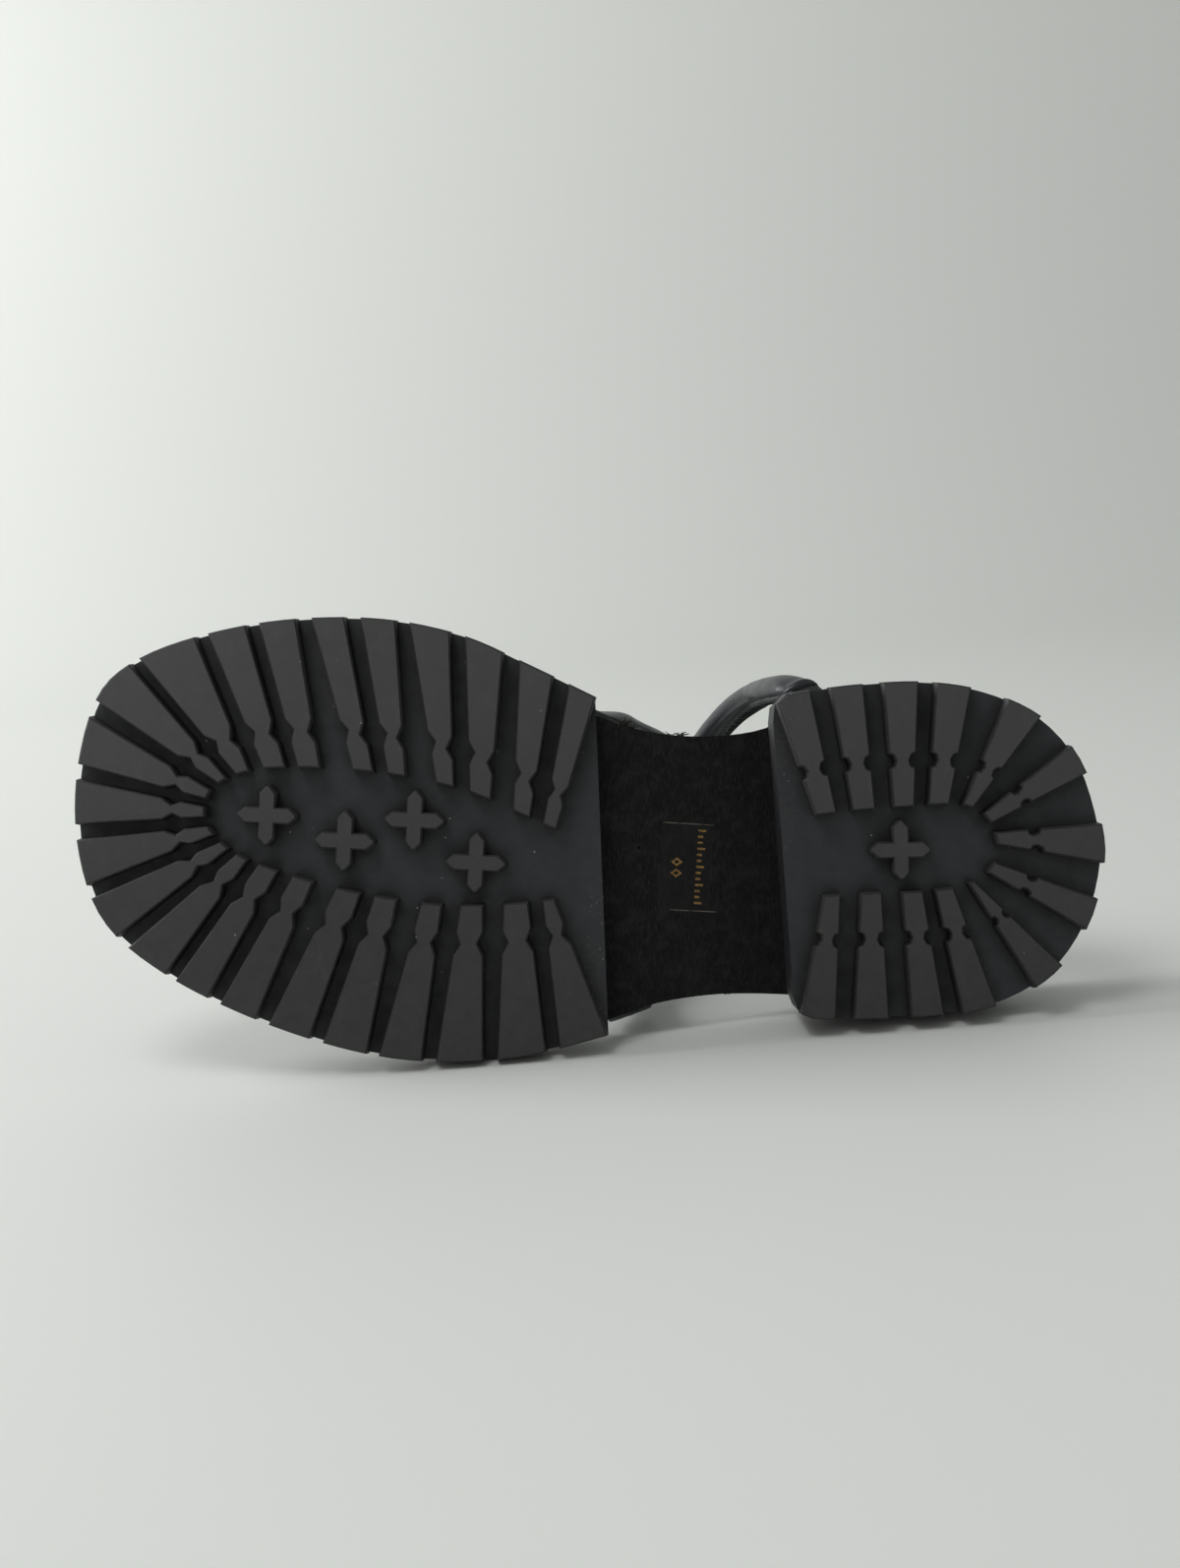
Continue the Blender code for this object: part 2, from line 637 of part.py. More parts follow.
def resting_rotation(objects):
    """Rotation that lays the shoe on the facet of its hull that is under its centre, outer side down."""
    hull = bmesh.new()
    for each in objects:
        for vertex in each.data.vertices:
            hull.verts.new(vertex.co)
    bmesh.ops.convex_hull(hull, input=hull.verts[:])
    hull.normal_update()
    centre = centre_of_volume(objects)
    best = None
    for face in hull.faces:
        foot = centre + face.normal * (face.verts[0].co - centre).dot(face.normal)
        corners = [vertex.co for vertex in face.verts]
        inside = all((b - a).cross(foot - a).dot(face.normal) >= 0
                     for a, b in zip(corners, corners[1:] + corners[:1]))
        if inside and (best is None or face.normal.y < best.y):
            best = face.normal.copy()
    hull.free()
    up = -best
    back = (Vector((0, 0, 1)) - up * up.z).normalized()
    return Matrix((back.cross(up), back, up))


def lay_down(objects):
    """Parent the pieces to an empty, laid on the outer side with the box's bottom centre at the origin."""
    turned = resting_rotation(objects)
    points = [turned @ vertex.co for each in objects for vertex in each.data.vertices]
    low = [min(point[i] for point in points) for i in range(3)]
    high = [max(point[i] for point in points) for i in range(3)]
    shift = Vector((-(low[0] + high[0]) / 2, -(low[1] + high[1]) / 2, -low[2]))
    holder = bpy.data.objects.new("sandal", None)
    bpy.context.scene.collection.objects.link(holder)
    holder.matrix_world = Matrix.Translation(shift * MM) @ turned.to_4x4()
    for each in objects:
        each.data.transform(Matrix.Scale(MM, 4))
        each.parent = holder
        each.data.shade_smooth()
        each.data.set_sharp_from_angle(angle=math.radians(35))


def make_material(name, colour, roughness):
    material = bpy.data.materials.new(name)
    material.use_nodes = True
    shader = material.node_tree.nodes["Principled BSDF"]
    shader.inputs["Base Color"].default_value = (*colour, 1.0)
    shader.inputs["Roughness"].default_value = roughness
    return material


for leftover in list(bpy.data.objects):
    bpy.data.objects.remove(leftover)

RUBBER = make_material("rubber", (0.045, 0.047, 0.050), 0.62)
BOARD = make_material("board", (0.012, 0.011, 0.011), 0.85)
LINING = make_material("lining", (0.020, 0.020, 0.021), 0.55)
LEATHER = make_material("leather", (0.030, 0.032, 0.036), 0.35)

outsole = rubber_unit("outsole", FORE_RIM, FORE_CORE, FORE_LUGS, FORE_NOTCH, FORE_CROSSES,
                      FORE_CROSS_TURN, FORE_HEIGHT, spread(120.0, 135.0, 5.0) + spread(180.0, 250.0, 7.0))
heel = rubber_unit("heel", HEEL_RIM, HEEL_CORE, HEEL_LUGS, HEEL_NOTCH, HEEL_CROSSES,
                   HEEL_CROSS_TURN, HEEL_HEIGHT, spread(10.0, 80.0, 14.0))
lay_down([outsole, heel, build_midsole(), build_insole(), build_upper()])
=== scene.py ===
"""Looks of the right sandal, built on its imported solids.

New pieces are built in the shoe's own frame, in millimetres: x runs along it from the back of the heel to the
toe, y across it to the inner side of the foot and z up from the tread.  Materials read their places in that
frame too.  The sandal lies on its outer side, so shoe_to_row() turns each piece into the row frame.
"""

import random
from collections import namedtuple
from math import atan2, copysign, cos, degrees, exp, pi, radians, sin, tau

import bmesh
import bpy
from mathutils import Matrix, Vector, noise


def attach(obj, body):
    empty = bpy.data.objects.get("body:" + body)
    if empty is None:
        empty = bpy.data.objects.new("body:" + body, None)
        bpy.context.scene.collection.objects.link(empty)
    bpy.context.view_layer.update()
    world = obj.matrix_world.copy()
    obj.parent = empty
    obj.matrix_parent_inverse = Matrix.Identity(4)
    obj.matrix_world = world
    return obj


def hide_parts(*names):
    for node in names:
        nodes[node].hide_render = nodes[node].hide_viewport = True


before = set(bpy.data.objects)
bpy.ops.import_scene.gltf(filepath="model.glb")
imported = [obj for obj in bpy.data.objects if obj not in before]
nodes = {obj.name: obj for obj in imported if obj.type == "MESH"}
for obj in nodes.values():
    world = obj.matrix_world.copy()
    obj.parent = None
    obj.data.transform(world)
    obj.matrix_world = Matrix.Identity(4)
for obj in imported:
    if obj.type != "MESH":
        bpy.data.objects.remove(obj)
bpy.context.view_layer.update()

MM = 0.001

# ---- how the sandal lies: it leans back, with its toe low ----
LEAN = radians(9.018)
TURN = radians(8.249)
HEEL_BACK_AT = Vector((125.573, -49.032, 39.835))  # the shoe frame's origin in the row frame

# ---- camera, in the shoe's frame ----
CAMERA_AT = Vector((125.95, 8.4, -482.0))
CAMERA_ROLL = radians(3.59)
LENS = 45.5
CAMERA_CLIP = (0.01, 20.0)  # metres

# ---- sizes shared with the solids ----
GAP = 0.3
LUG_DEPTH = 5.0
TOE_SPRING = 9.0
SPRING_FROM = 180.0
TOE_TIP = 253.2
MIDSOLE_THICKNESS = 4.0
INSOLE_THICKNESS = 5.0
INSOLE_INSET = 2.5
HEEL_DISH = 1.4
STRAP_TUBE = 8.8
STRAP_PAD = 6.8
TAB_WIDTH = 12.0
TAB_THICKNESS = 2.4
TAB_REACH = 8.0
TAB_ROUNDING = 0.45
POCKET_HEADROOM = 0.6
POCKET_REACH = 12.0  # out from the insole's edge
ROOT_BEND = 1.6
ARCH_START = 10.0
ARCH_STEPS = 32
EASED_POINTS = 3
RIDGE_SHIFT = 4.0
CROSSING_SPREAD = 30.0
CROSSING_LIFT = 3.6
CROSSING_SQUEEZE = 0.36

MIDSOLE_TOP = GAP + MIDSOLE_THICKNESS
INSOLE_BOTTOM = MIDSOLE_TOP + GAP
FOOTBED = INSOLE_BOTTOM + INSOLE_THICKNESS
TAB_TOP = INSOLE_BOTTOM + TAB_THICKNESS

Height = namedtuple("Height", "along up")
Edge = namedtuple("Edge", "along inner outer")
Form = namedtuple("Form", "along up inner_swell outer_lean")
Strap = namedtuple("Strap", "inner_root outer_root lead inner_pad_from inner_pad_run outer_pad_run "
                            "lift squeeze seam_side")
Seam = namedtuple("Seam", "run turn")
Band = namedtuple("Band", "turn low high")
Crease = namedtuple("Crease", "strap run turn depth half_length half_turn")
Tuft = namedtuple("Tuft", "along side hairs length")

# Height of the rubber's top over the tread, before the toe spring.
SEAT = [
    Height(-1, 24.2), Height(40, 22.8), Height(73, 20.8), Height(83, 19.4), Height(96, 16.4),
    Height(110, 13.2), Height(122, 11.1), Height(133, 10.5), Height(150, 10.5), Height(260, 10.5),
]
# The foot form under the straps: its height over the footbed, its swell over the insole's inner edge and
# its lean in over the outer one.
FOOT = [
    Form(50, 76, 0.46, 0.35), Form(66, 71, 0.48, 0.35), Form(78, 68, 0.60, 0.35),
    Form(90, 64, 0.82, 0.35), Form(102, 61, 0.18, 0.35), Form(114, 58, -0.06, 0.35),
    Form(130, 54, -0.10, 0.35), Form(150, 50, -0.10, 0.35),
]
# The midsole's edges, with its tips at the heel and the toe.
HEEL_BACK = (2.6, -3.2)
TOE_FRONT = (249.0, 1.0)
PLATFORM = [
    Edge(5, 9, -15), Edge(12, 21, -27), Edge(25, 31.6, -36), Edge(40, 35.6, -40),
    Edge(56, 35.2, -41.6), Edge(72, 31.8, -41.8), Edge(82, 25.5, -42), Edge(93, 22.7, -42.8),
    Edge(106, 21.9, -45.4), Edge(119, 23.6, -50.4), Edge(136, 29.4, -56), Edge(152, 36, -58.2),
    Edge(170, 40.4, -57.6), Edge(190, 41, -53.8), Edge(210, 37.8, -47.4), Edge(228, 31.8, -38.6),
    Edge(240, 24.6, -28.4), Edge(246.5, 14.5, -15),
]
# One from the inner heel to the outer forefoot, and one from the inner forefoot to the outer heel.
STRAPS = [
    Strap(69.5, 113.5, 0.82, 0, 7, 24, CROSSING_LIFT, 0, -1),
    Strap(134, 62, 0.79, 8, 17, 24, 0, CROSSING_SQUEEZE, 1),
]

# ---- details of the straps ----
PAINTED_SHADE_AND_LINING_LAYER = "dark"  # mesh attribute: painted shade by seams and end bands, and the dark lining
RING_SPACING = 0.42
SECTION_STEPS = 7  # points of a strap's smooth section for each of its named points
SEAM_START = 19.0  # run at which the stitched edge comes out of the tab
SEAM_EASE = 3.0
SEAM_REACH = 2.5  # of its relief, before the seam
SEAM_DEPTH = 0.40  # of the valley between the tube and its stitched edge
SEAM_WIDTH = 0.45
EDGE_RIDGE = 0.9  # from the valley to the stitched edge's ridge
EDGE_ROW = 2.0  # to its row of stitches
EDGE_END = 3.0  # to its raw edge
EDGE_PROUD = 0.30
PUCKER_DEPTH = 0.16  # of the ridge, at each stitch
HOLE_DEPTH = 0.42
RAW_EDGE_DEPTH = 0.22
STITCH_SPACING = 1.9
STITCH_RADIUS = 0.22
STITCH_SLANT = 0.55
STITCHES_FROM = SEAM_START + 2.0
# A stitch's points: rings ahead, distance past the row and height over the skin.
STITCH_PATH = [(1, -0.75, -0.25), (1, -0.5, 0.06), (0, 0.0, 0.02), (-1, 0.5, 0.04), (-1, 0.7, -0.25)]
BAND_END = 20.0  # run at which the cross band on a strap's end is over
BAND_RING_SPACING = 0.24
BAND_TURNS = (12, 156)  # turns from which it fades in and out
BAND_FADE = 12
BAND_PROUD = 0.28
BAND_LINE_DEPTH = 0.35
BAND_LIP_DEPTH = 0.14
BAND_NICK_TURN = 146
UNEVENNESS = [(0.07, 0.09), (0.015, 0.5)]  # heights, and waves for each mm

# The two edges of that band, as runs, by the turn round the tube.
BAND = [
    Band(20, 14.6, 15.6), Band(46, 14.2, 15.1), Band(90, 13.9, 15.1), Band(115, 13.9, 15.4),
    Band(134, 14.2, 16.6), Band(146, 15.4, 18.1), Band(165, 17.1, 19.6),
]

# Where the seam runs round the tube, in degrees from its sole side over the outside.
SEAM = [
    Seam(18, 173), Seam(28, 187), Seam(34, 204), Seam(38, 218), Seam(43, 231), Seam(48, 238), Seam(57, 246),
    Seam(70, 254), Seam(140, 258),
]
LINING_SEAM = 262  # turn of the seam at the inner forefoot end, up to a run
LINING_SEAM_RUN = 50.0
LINING_SEAM_EASE = 20.0
DARK_LINING = (245, 55)  # middle turn and half width of the dark lining past the stitches
DARK_LINING_FADE = 15

# Soft troughs, and ridges where the depth is below 0.  Runs start at a strap's inner end.
CREASES = [
    Crease(0, 18.6, 150, 0.1, 1.2, 26), Crease(0, 21.6, 154, -0.3, 1.4, 24),
    Crease(0, 24.6, 140, 0.12, 1.8, 36), Crease(0, 29, 120, 0.08, 2.4, 50),
    Crease(0, 44, 150, 0.1, 3, 50), Crease(0, 178, 100, 0.2, 2.2, 55),
    Crease(0, 186, 80, 0.26, 2.4, 60),
    Crease(1, 16, 90, 0.16, 2.6, 55), Crease(1, 52, 70, 0.12, 2.6, 50),
    Crease(1, 60, 110, 0.12, 2.2, 50), Crease(1, 190, 90, 0.24, 2.4, 60),
    Crease(1, 198, 110, 0.18, 2.2, 50),
]
CREASE_SLANT = 0.02  # run that a crease gains for each degree round the tube

# ---- loose fibres on the board's edges, at the waist ----
TUFTS = [
    Tuft(125.2, 1, 2, 0.6), Tuft(118.9, 1, 14, 2.4), Tuft(117.7, 1, 14, 2.7), Tuft(116.6, 1, 6, 1.5),
    Tuft(113.4, 1, 1, 1), Tuft(106.7, 1, 4, 1.3), Tuft(105, 1, 3, 0.8), Tuft(103.5, 1, 9, 1.8),
    Tuft(88, -1, 3, 0.7), Tuft(97, -1, 3, 0.6), Tuft(112, -1, 3, 0.7),
]
TUFT_SCATTER = 0.4
TUFT_LENGTHS = (0.6, 1.1)  # shares of its length
TUFT_RADII = (0.11, 0.20)
NAP_HAIRS = 130  # short hairs on each side
NAP_ALONG = (83.0, 126.0)
NAP_LENGTHS = (0.15, 0.4)
NAP_RADII = (0.03, 0.06)
HAIR_ROOT = 0.15  # how deep a hair starts in the board


# ---- curves and tables, as in the part's source ----

def catmull_rom(before, start, end, after, t):
    """Point at t, from 0 to 1, on the smooth curve between start and end."""
    return 0.5 * (2 * start + (end - before) * t + (2 * before - 5 * start + 4 * end - after) * t ** 2
                  + (3 * start - before - 3 * end + after) * t ** 3)


def smooth_loop(knots, steps):
    """Many points on a smooth closed curve through a few knots."""
    knots = [Vector(knot) for knot in knots]
    ring = knots[-1:] + knots + knots[:2]
    return [catmull_rom(*ring[i:i + 4], step / steps) for i in range(len(knots)) for step in range(steps)]


def cubic(start, start_slope, end, end_slope, span, t):
    """Value at t, from 0 to 1, of the cubic over a span that leaves and arrives with the given slopes."""
    return ((1 - t) ** 2 * ((1 + 2 * t) * start + t * span * start_slope)
            + t ** 2 * ((3 - 2 * t) * end - (1 - t) * span * end_slope))


def smoothstep(value):
    value = min(max(value, 0.0), 1.0)
    return value * value * (3 - 2 * value)


def read_table(rows, place, column):
    """Value of a column at a place in the rows' first column, on a smooth curve through the rows."""
    last = len(rows) - 1
    index = 0
    while index < last - 1 and place > rows[index + 1][0]:
        index += 1
    near = [rows[min(max(i, 0), last)] for i in range(index - 1, index + 3)]
    before, start, end, after = ((row[0], getattr(row, column)) for row in near)
    span = end[0] - start[0]
    t = min(max((place - start[0]) / span, 0.0), 1.0)
    start_slope = (end[1] - before[1]) / (end[0] - before[0])
    end_slope = (after[1] - start[1]) / (after[0] - start[0])
    return cubic(start[1], start_slope, end[1], end_slope, span, t)


def seat_line(along):
    spring = TOE_SPRING * max(0.0, (along - SPRING_FROM) / (TOE_TIP - SPRING_FROM)) ** 2
    return read_table(SEAT, along, "up") + spring


def edge_column(side):
    return "inner" if side > 0 else "outer"


def edge_outward(along, side):
    """Direction in plan square to the midsole's edge; side is 1 for the inner edge, -1 for the outer."""
    step = 3.0
    column = edge_column(side)
    rise = read_table(PLATFORM, along + step, column) - read_table(PLATFORM, along - step, column)
    return Vector((-rise / (2 * step), 1)).normalized() * side


def insole_edge(along, side):
    return read_table(PLATFORM, along, edge_column(side)) - INSOLE_INSET / edge_outward(along, side).y


def root_place(root, side, out, sideways=0.0):
    """Point in plan near a strap's root, measured out from the insole's edge and along it."""
    outward = edge_outward(root, side)
    along = Vector((outward.y, -outward.x))
    return Vector((root, insole_edge(root, side))) + outward * out + along * sideways


# ---- pieces ----

def shoe_to_row():
    """The shoe frame's place in the row frame, in millimetres."""
    along = Vector((-cos(TURN), sin(TURN) * sin(LEAN), sin(TURN) * cos(LEAN)))
    across = Vector((sin(TURN), cos(TURN) * sin(LEAN), cos(TURN) * cos(LEAN)))
    up = Vector((0.0, cos(LEAN), -sin(LEAN)))
    turned = Matrix((along, across, up)).transposed()
    return Matrix.Translation(HEEL_BACK_AT) @ turned.to_4x4()


def link_object(name, data):
    made = bpy.data.objects.new(name, data)
    bpy.context.scene.collection.objects.link(made)
    return made


def link_mesh(name, mesh, material):
    """Turn a bmesh into a smooth object, and free the bmesh."""
    data = bpy.data.meshes.new(name)
    mesh.to_mesh(data)
    mesh.free()
    data.materials.append(material)
    data.shade_smooth()
    return link_object(name, data)


def new_object(name, mesh, material):
    """Turn a bmesh in the shoe's frame into an object in the row frame."""
    mesh.transform(Matrix.Scale(MM, 4) @ shoe_to_row())
    return link_mesh(name, mesh, material)


def add_loops(mesh, loops):
    """Join loops of points, each of the same count, into a closed skin."""
    rings = [[mesh.verts.new(point) for point in loop] for loop in loops]
    count = len(rings[0])
    for near, far in zip(rings, rings[1:]):
        for i in range(count):
            j = (i + 1) % count
            mesh.faces.new((near[i], near[j], far[j], far[i]))
    mesh.faces.new(rings[0][::-1])
    mesh.faces.new(rings[-1])
    return rings


def add_thread(mesh, points, radius, sides=6, tip=0.35):
    """A thin tube along a few points, narrower at its tips."""
    loops = []
    for i, point in enumerate(points):
        way = (points[min(i + 1, len(points) - 1)] - points[max(i - 1, 0)]).normalized()
        across = way.orthogonal().normalized()
        second = way.cross(across)
        share = tip if i in (0, len(points) - 1) else 1.0
        loops.append([point + (across * cos(tau * side / sides)
                               + second * sin(tau * side / sides)) * radius * share
                      for side in range(sides)])
    add_loops(mesh, loops)


# ---- materials ----

class Look:
    """A procedural material that reads its places in the shoe's frame, in millimetres."""

    def __init__(self, name, roughness=0.5):
        self.material = bpy.data.materials.new(name)
        self.material.use_nodes = True
        self.nodes = self.material.node_tree.nodes
        self.links = self.material.node_tree.links
        self.shader = self.nodes["Principled BSDF"]
        self.shader.inputs["Roughness"].default_value = roughness
        place = shoe_to_row()
        source = self.add("TexCoord")
        mapping = self.add("Mapping", {
            "Vector": source.outputs["Object"], "Location": place.translation * MM,
            "Rotation": place.to_euler(), "Scale": (MM, MM, MM)}, vector_type="TEXTURE")
        self.place = mapping.outputs["Vector"]
        split = self.add("SeparateXYZ", {"Vector": self.place})
        self.along, self.across, self.up = (split.outputs[axis] for axis in "XYZ")

    def add(self, kind, inputs=None, **settings):
        """A new node with these inputs and settings."""
        node = self.nodes.new("ShaderNode" + kind)
        for name, value in settings.items():
            setattr(node, name, value)
        for key, value in (inputs or {}).items():
            if isinstance(value, bpy.types.NodeSocket):
                self.links.new(value, node.inputs[key])
            else:
                node.inputs[key].default_value = value
        return node

    def math(self, operation, first, second=0.0, third=0.0):
        return self.add("Math", {0: first, 1: second, 2: third}, operation=operation).outputs[0]

    def times(self, first, second):
        return self.math("MULTIPLY", first, second)

    def stretched(self, along=1.0, across=1.0, up=1.0, turn=0.0):
        """The place, with lengths divided by these."""
        return self.add("Mapping", {
            "Vector": self.place, "Rotation": (0.0, 0.0, radians(turn)),
            "Scale": (1 / along, 1 / across, 1 / up)}).outputs["Vector"]

    def noise(self, size, detail=3.0, roughness=0.55, place=None):
        """Smooth random values with features of about this size."""
        return self.add("TexNoise", {"Vector": place or self.place, "Scale": 1 / size, "Detail": detail,
                                     "Roughness": roughness}).outputs["Fac"]

    def spread(self, value, low, high, start=0.0, end=1.0):
        """Read value from low to high as start to end, softly and within those."""
        return self.add("MapRange", {
            "Value": value, "From Min": low, "From Max": high, "To Min": start, "To Max": end},
            interpolation_type="SMOOTHSTEP").outputs["Result"]

    def within(self, value, low, high, soft):
        """1 between low and high, and 0 outside."""
        over = self.spread(value, low - soft, low + soft)
        return self.times(over, self.spread(value, high + soft, high - soft))

    def specks(self, spacing, radius, share):
        """Small dots with soft edges, in a share of the cells of a scattered grid."""
        cells = self.add("TexVoronoi", {"Vector": self.place, "Scale": 1 / spacing})
        dot = self.spread(cells.outputs["Distance"], radius * 1.25 / spacing, radius * 0.75 / spacing)
        chance = self.add("SeparateColor", {"Color": cells.outputs["Color"]}).outputs[0]
        return self.times(dot, self.math("LESS_THAN", chance, share))

    def levelness(self):
        """How level the surface lies in the shoe: 1 on the tread or the footbed, 0 on a wall."""
        upright = shoe_to_row().to_3x3() @ Vector((0, 0, 1))
        facing = self.add("VectorMath", {
            0: self.nodes["Texture Coordinate"].outputs["Normal"], 1: upright}, operation="DOT_PRODUCT")
        return self.math("ABSOLUTE", facing.outputs["Value"])

    def mix(self, share, first, second):
        """The first colour where share is 0, and the second where it is 1."""
        first, second = (colour if isinstance(colour, bpy.types.NodeSocket) else (*colour, 1.0)
                         for colour in (first, second))
        return self.add("Mix", {"Factor": share, 6: first, 7: second}, data_type="RGBA").outputs[2]

    def paint(self, base, share, colour, amount):
        """The base, with a colour over it as far as the share times the amount."""
        return self.mix(self.times(share, amount), base, colour)

    def bump(self, heights, edge_radius=0.0):
        """Relief in millimetres: (height, amount) pairs, over edges softened by a radius."""
        normal = None
        if edge_radius:
            normal = self.add("Bevel", {"Radius": edge_radius * MM}, samples=4).outputs["Normal"]
        for height, amount in heights:
            inputs = {"Height": height, "Distance": amount * MM, "Strength": 1.0}
            if normal:
                inputs["Normal"] = normal
            normal = self.add("Bump", inputs).outputs["Normal"]
        self.links.new(normal, self.shader.inputs["Normal"])

    def connect(self, colour, roughness=None):
        self.links.new(colour, self.shader.inputs["Base Color"])
        if roughness:
            self.links.new(roughness, self.shader.inputs["Roughness"])
        return self.material


# ---- the rubber ----
TREAD_CROWN = 0.0008  # fall of the tread from its middle line, for each mm2
RECESS_REACH = 4.5  # of the painted shade in recesses, from a lug's foot
LUG_EDGE_RADIUS = 0.06

# Its colours; a pair blends in clouds.
LUG_TOPS = ((0.036, 0.0365, 0.037), (0.050, 0.0505, 0.051))
LUG_SMEAR = (0.085, 0.087, 0.086)
# Black for painted shade and pale grey for painted light across the lug tops.
LUG_PAINTED_SHADE = (0.0, 0.0, 0.0)
LUG_PAINTED_LIGHT = (0.14, 0.14, 0.14)
GROOVE_PAINTED_SHADE = ((0.017, 0.0175, 0.021), (0.030, 0.031, 0.036))
GROOVE_HAZE = (0.10, 0.10, 0.097)
RECESS_PAINTED_SHADE = (0.006, 0.006, 0.007)
CHAMFER_PAINTED_SHADE = (0.006, 0.006, 0.006)
DUST_SPECK = (0.24, 0.24, 0.21)
RUST_SPECK = (0.13, 0.08, 0.045)
GRIT = (0.13, 0.105, 0.08)
PALE_CHIP = (0.25, 0.25, 0.24)


def height_over_tread(look):
    """Height over the tread, with the toe spring taken off."""
    reach = look.math("MAXIMUM", look.math("SUBTRACT", look.along, SPRING_FROM), 0.0)
    share = look.math("DIVIDE", reach, TOE_TIP - SPRING_FROM)
    rise = look.times(look.times(share, share), TOE_SPRING)
    return look.math("SUBTRACT", look.up, rise)


def lug_colour(look):
    """Dusty lug tops with smears, with painted shade to the outer side and painted light to the inner one."""
    top = look.mix(look.noise(26.0, 4.0), *LUG_TOPS)
    streaks = look.noise(3.0, 6.0, 0.7, look.stretched(1.0, 3.0, 1.0, 20))
    top = look.mix(look.spread(streaks, 0.52, 0.80, 0.0, 0.35), top, LUG_SMEAR)
    # Painted light and shade: the lug tops are made paler towards the inner side and darker towards the outer
    # one.
    painted_light_share = look.spread(look.math("ADD", look.across, look.noise(30.0, 2.0)), -55.0, 48.0)
    top = look.paint(top, look.math("SUBTRACT", 1.0, painted_light_share), LUG_PAINTED_SHADE, 0.30)
    return look.paint(top, painted_light_share, LUG_PAINTED_LIGHT, 0.12)


def rubber_look(name, middle, dirt_from, dirt_to):
    """Matt moulded rubber, with painted shade in its bluer grooves and in its recesses, and grit by the
    waist.
    """
    look = Look(name)
    off_middle = look.math("SUBTRACT", look.across, middle)
    crown = look.times(off_middle, off_middle)
    height = height_over_tread(look)
    top = lug_colour(look)
    groove = look.mix(look.noise(14.0, 4.0), *GROOVE_PAINTED_SHADE)
    # Painted shade: deeper than the lug tops, the rubber takes the darker, bluer colour of the grooves.
    colour = look.mix(look.spread(height, 0.8, LUG_DEPTH - 0.3), top, groove)
    haze = look.times(look.spread(look.noise(0.5, 2.0), 0.52, 0.75),
                      look.spread(look.noise(9.0, 3.0), 0.48, 0.70, 0.0, 0.22))
    colour = look.mix(haze, colour, GROOVE_HAZE)
    # Painted shade: near black where the rubber's own shape closes round a point, by the lugs' feet.
    openness = look.add("AmbientOcclusion", {"Distance": RECESS_REACH * MM}, samples=6,
                        only_local=True).outputs["AO"]
    colour = look.mix(look.spread(openness, 0.97, 0.45, 0.0, 0.92), colour, RECESS_PAINTED_SHADE)
    # Painted shade: faces that slope between level and upright, the chamfers, are darkened.
    colour = look.paint(colour, look.within(look.levelness(), 0.35, 0.92, 0.06), CHAMFER_PAINTED_SHADE, 0.80)
    dust = look.specks(5.5, 0.24, 0.30)
    colour = look.mix(dust, colour, DUST_SPECK)
    colour = look.paint(colour, look.specks(7.5, 0.34, 0.35), RUST_SPECK, 0.6)
    patches = look.spread(look.noise(5.0, 2.0), 0.40, 0.55)
    grit = look.times(look.spread(look.noise(0.45, 4.0, 0.7), 0.55, 0.72), patches)
    dirty = look.within(look.along, dirt_from, dirt_to, 2.0)
    grit = look.times(grit, dirty)
    colour = look.paint(colour, grit, GRIT, 0.9)
    colour = look.mix(look.times(look.specks(1.3, 0.13, 0.45), dirty), colour, PALE_CHIP)
    grain = look.noise(0.28, 3.0, 0.6)
    waves = look.noise(7.0, 2.0)
    relief = [(crown, -TREAD_CROWN), (waves, 0.05), (grain, 0.05), (dust, 0.12), (grit, 0.04)]
    look.bump(relief, LUG_EDGE_RADIUS)
    return look.connect(colour, look.spread(look.noise(4.0, 4.0), 0.3, 0.7, 0.50, 0.68))


# ---- the board's colours ----
BOARD = ((0.0085, 0.0083, 0.0086), (0.0235, 0.0228, 0.0231))
BOARD_THREAD = (0.030, 0.0292, 0.0296)
BOARD_CLOUD = (0.026, 0.0255, 0.0258)
BOARD_FLUFF = (0.07, 0.068, 0.062)
BOARD_PANEL = (0.013, 0.013, 0.013)
PINHOLE_PAINTED_SHADE = (0.001, 0.001, 0.001)
CUT_EDGE = ((0.006, 0.005, 0.005), (0.15, 0.08, 0.05))


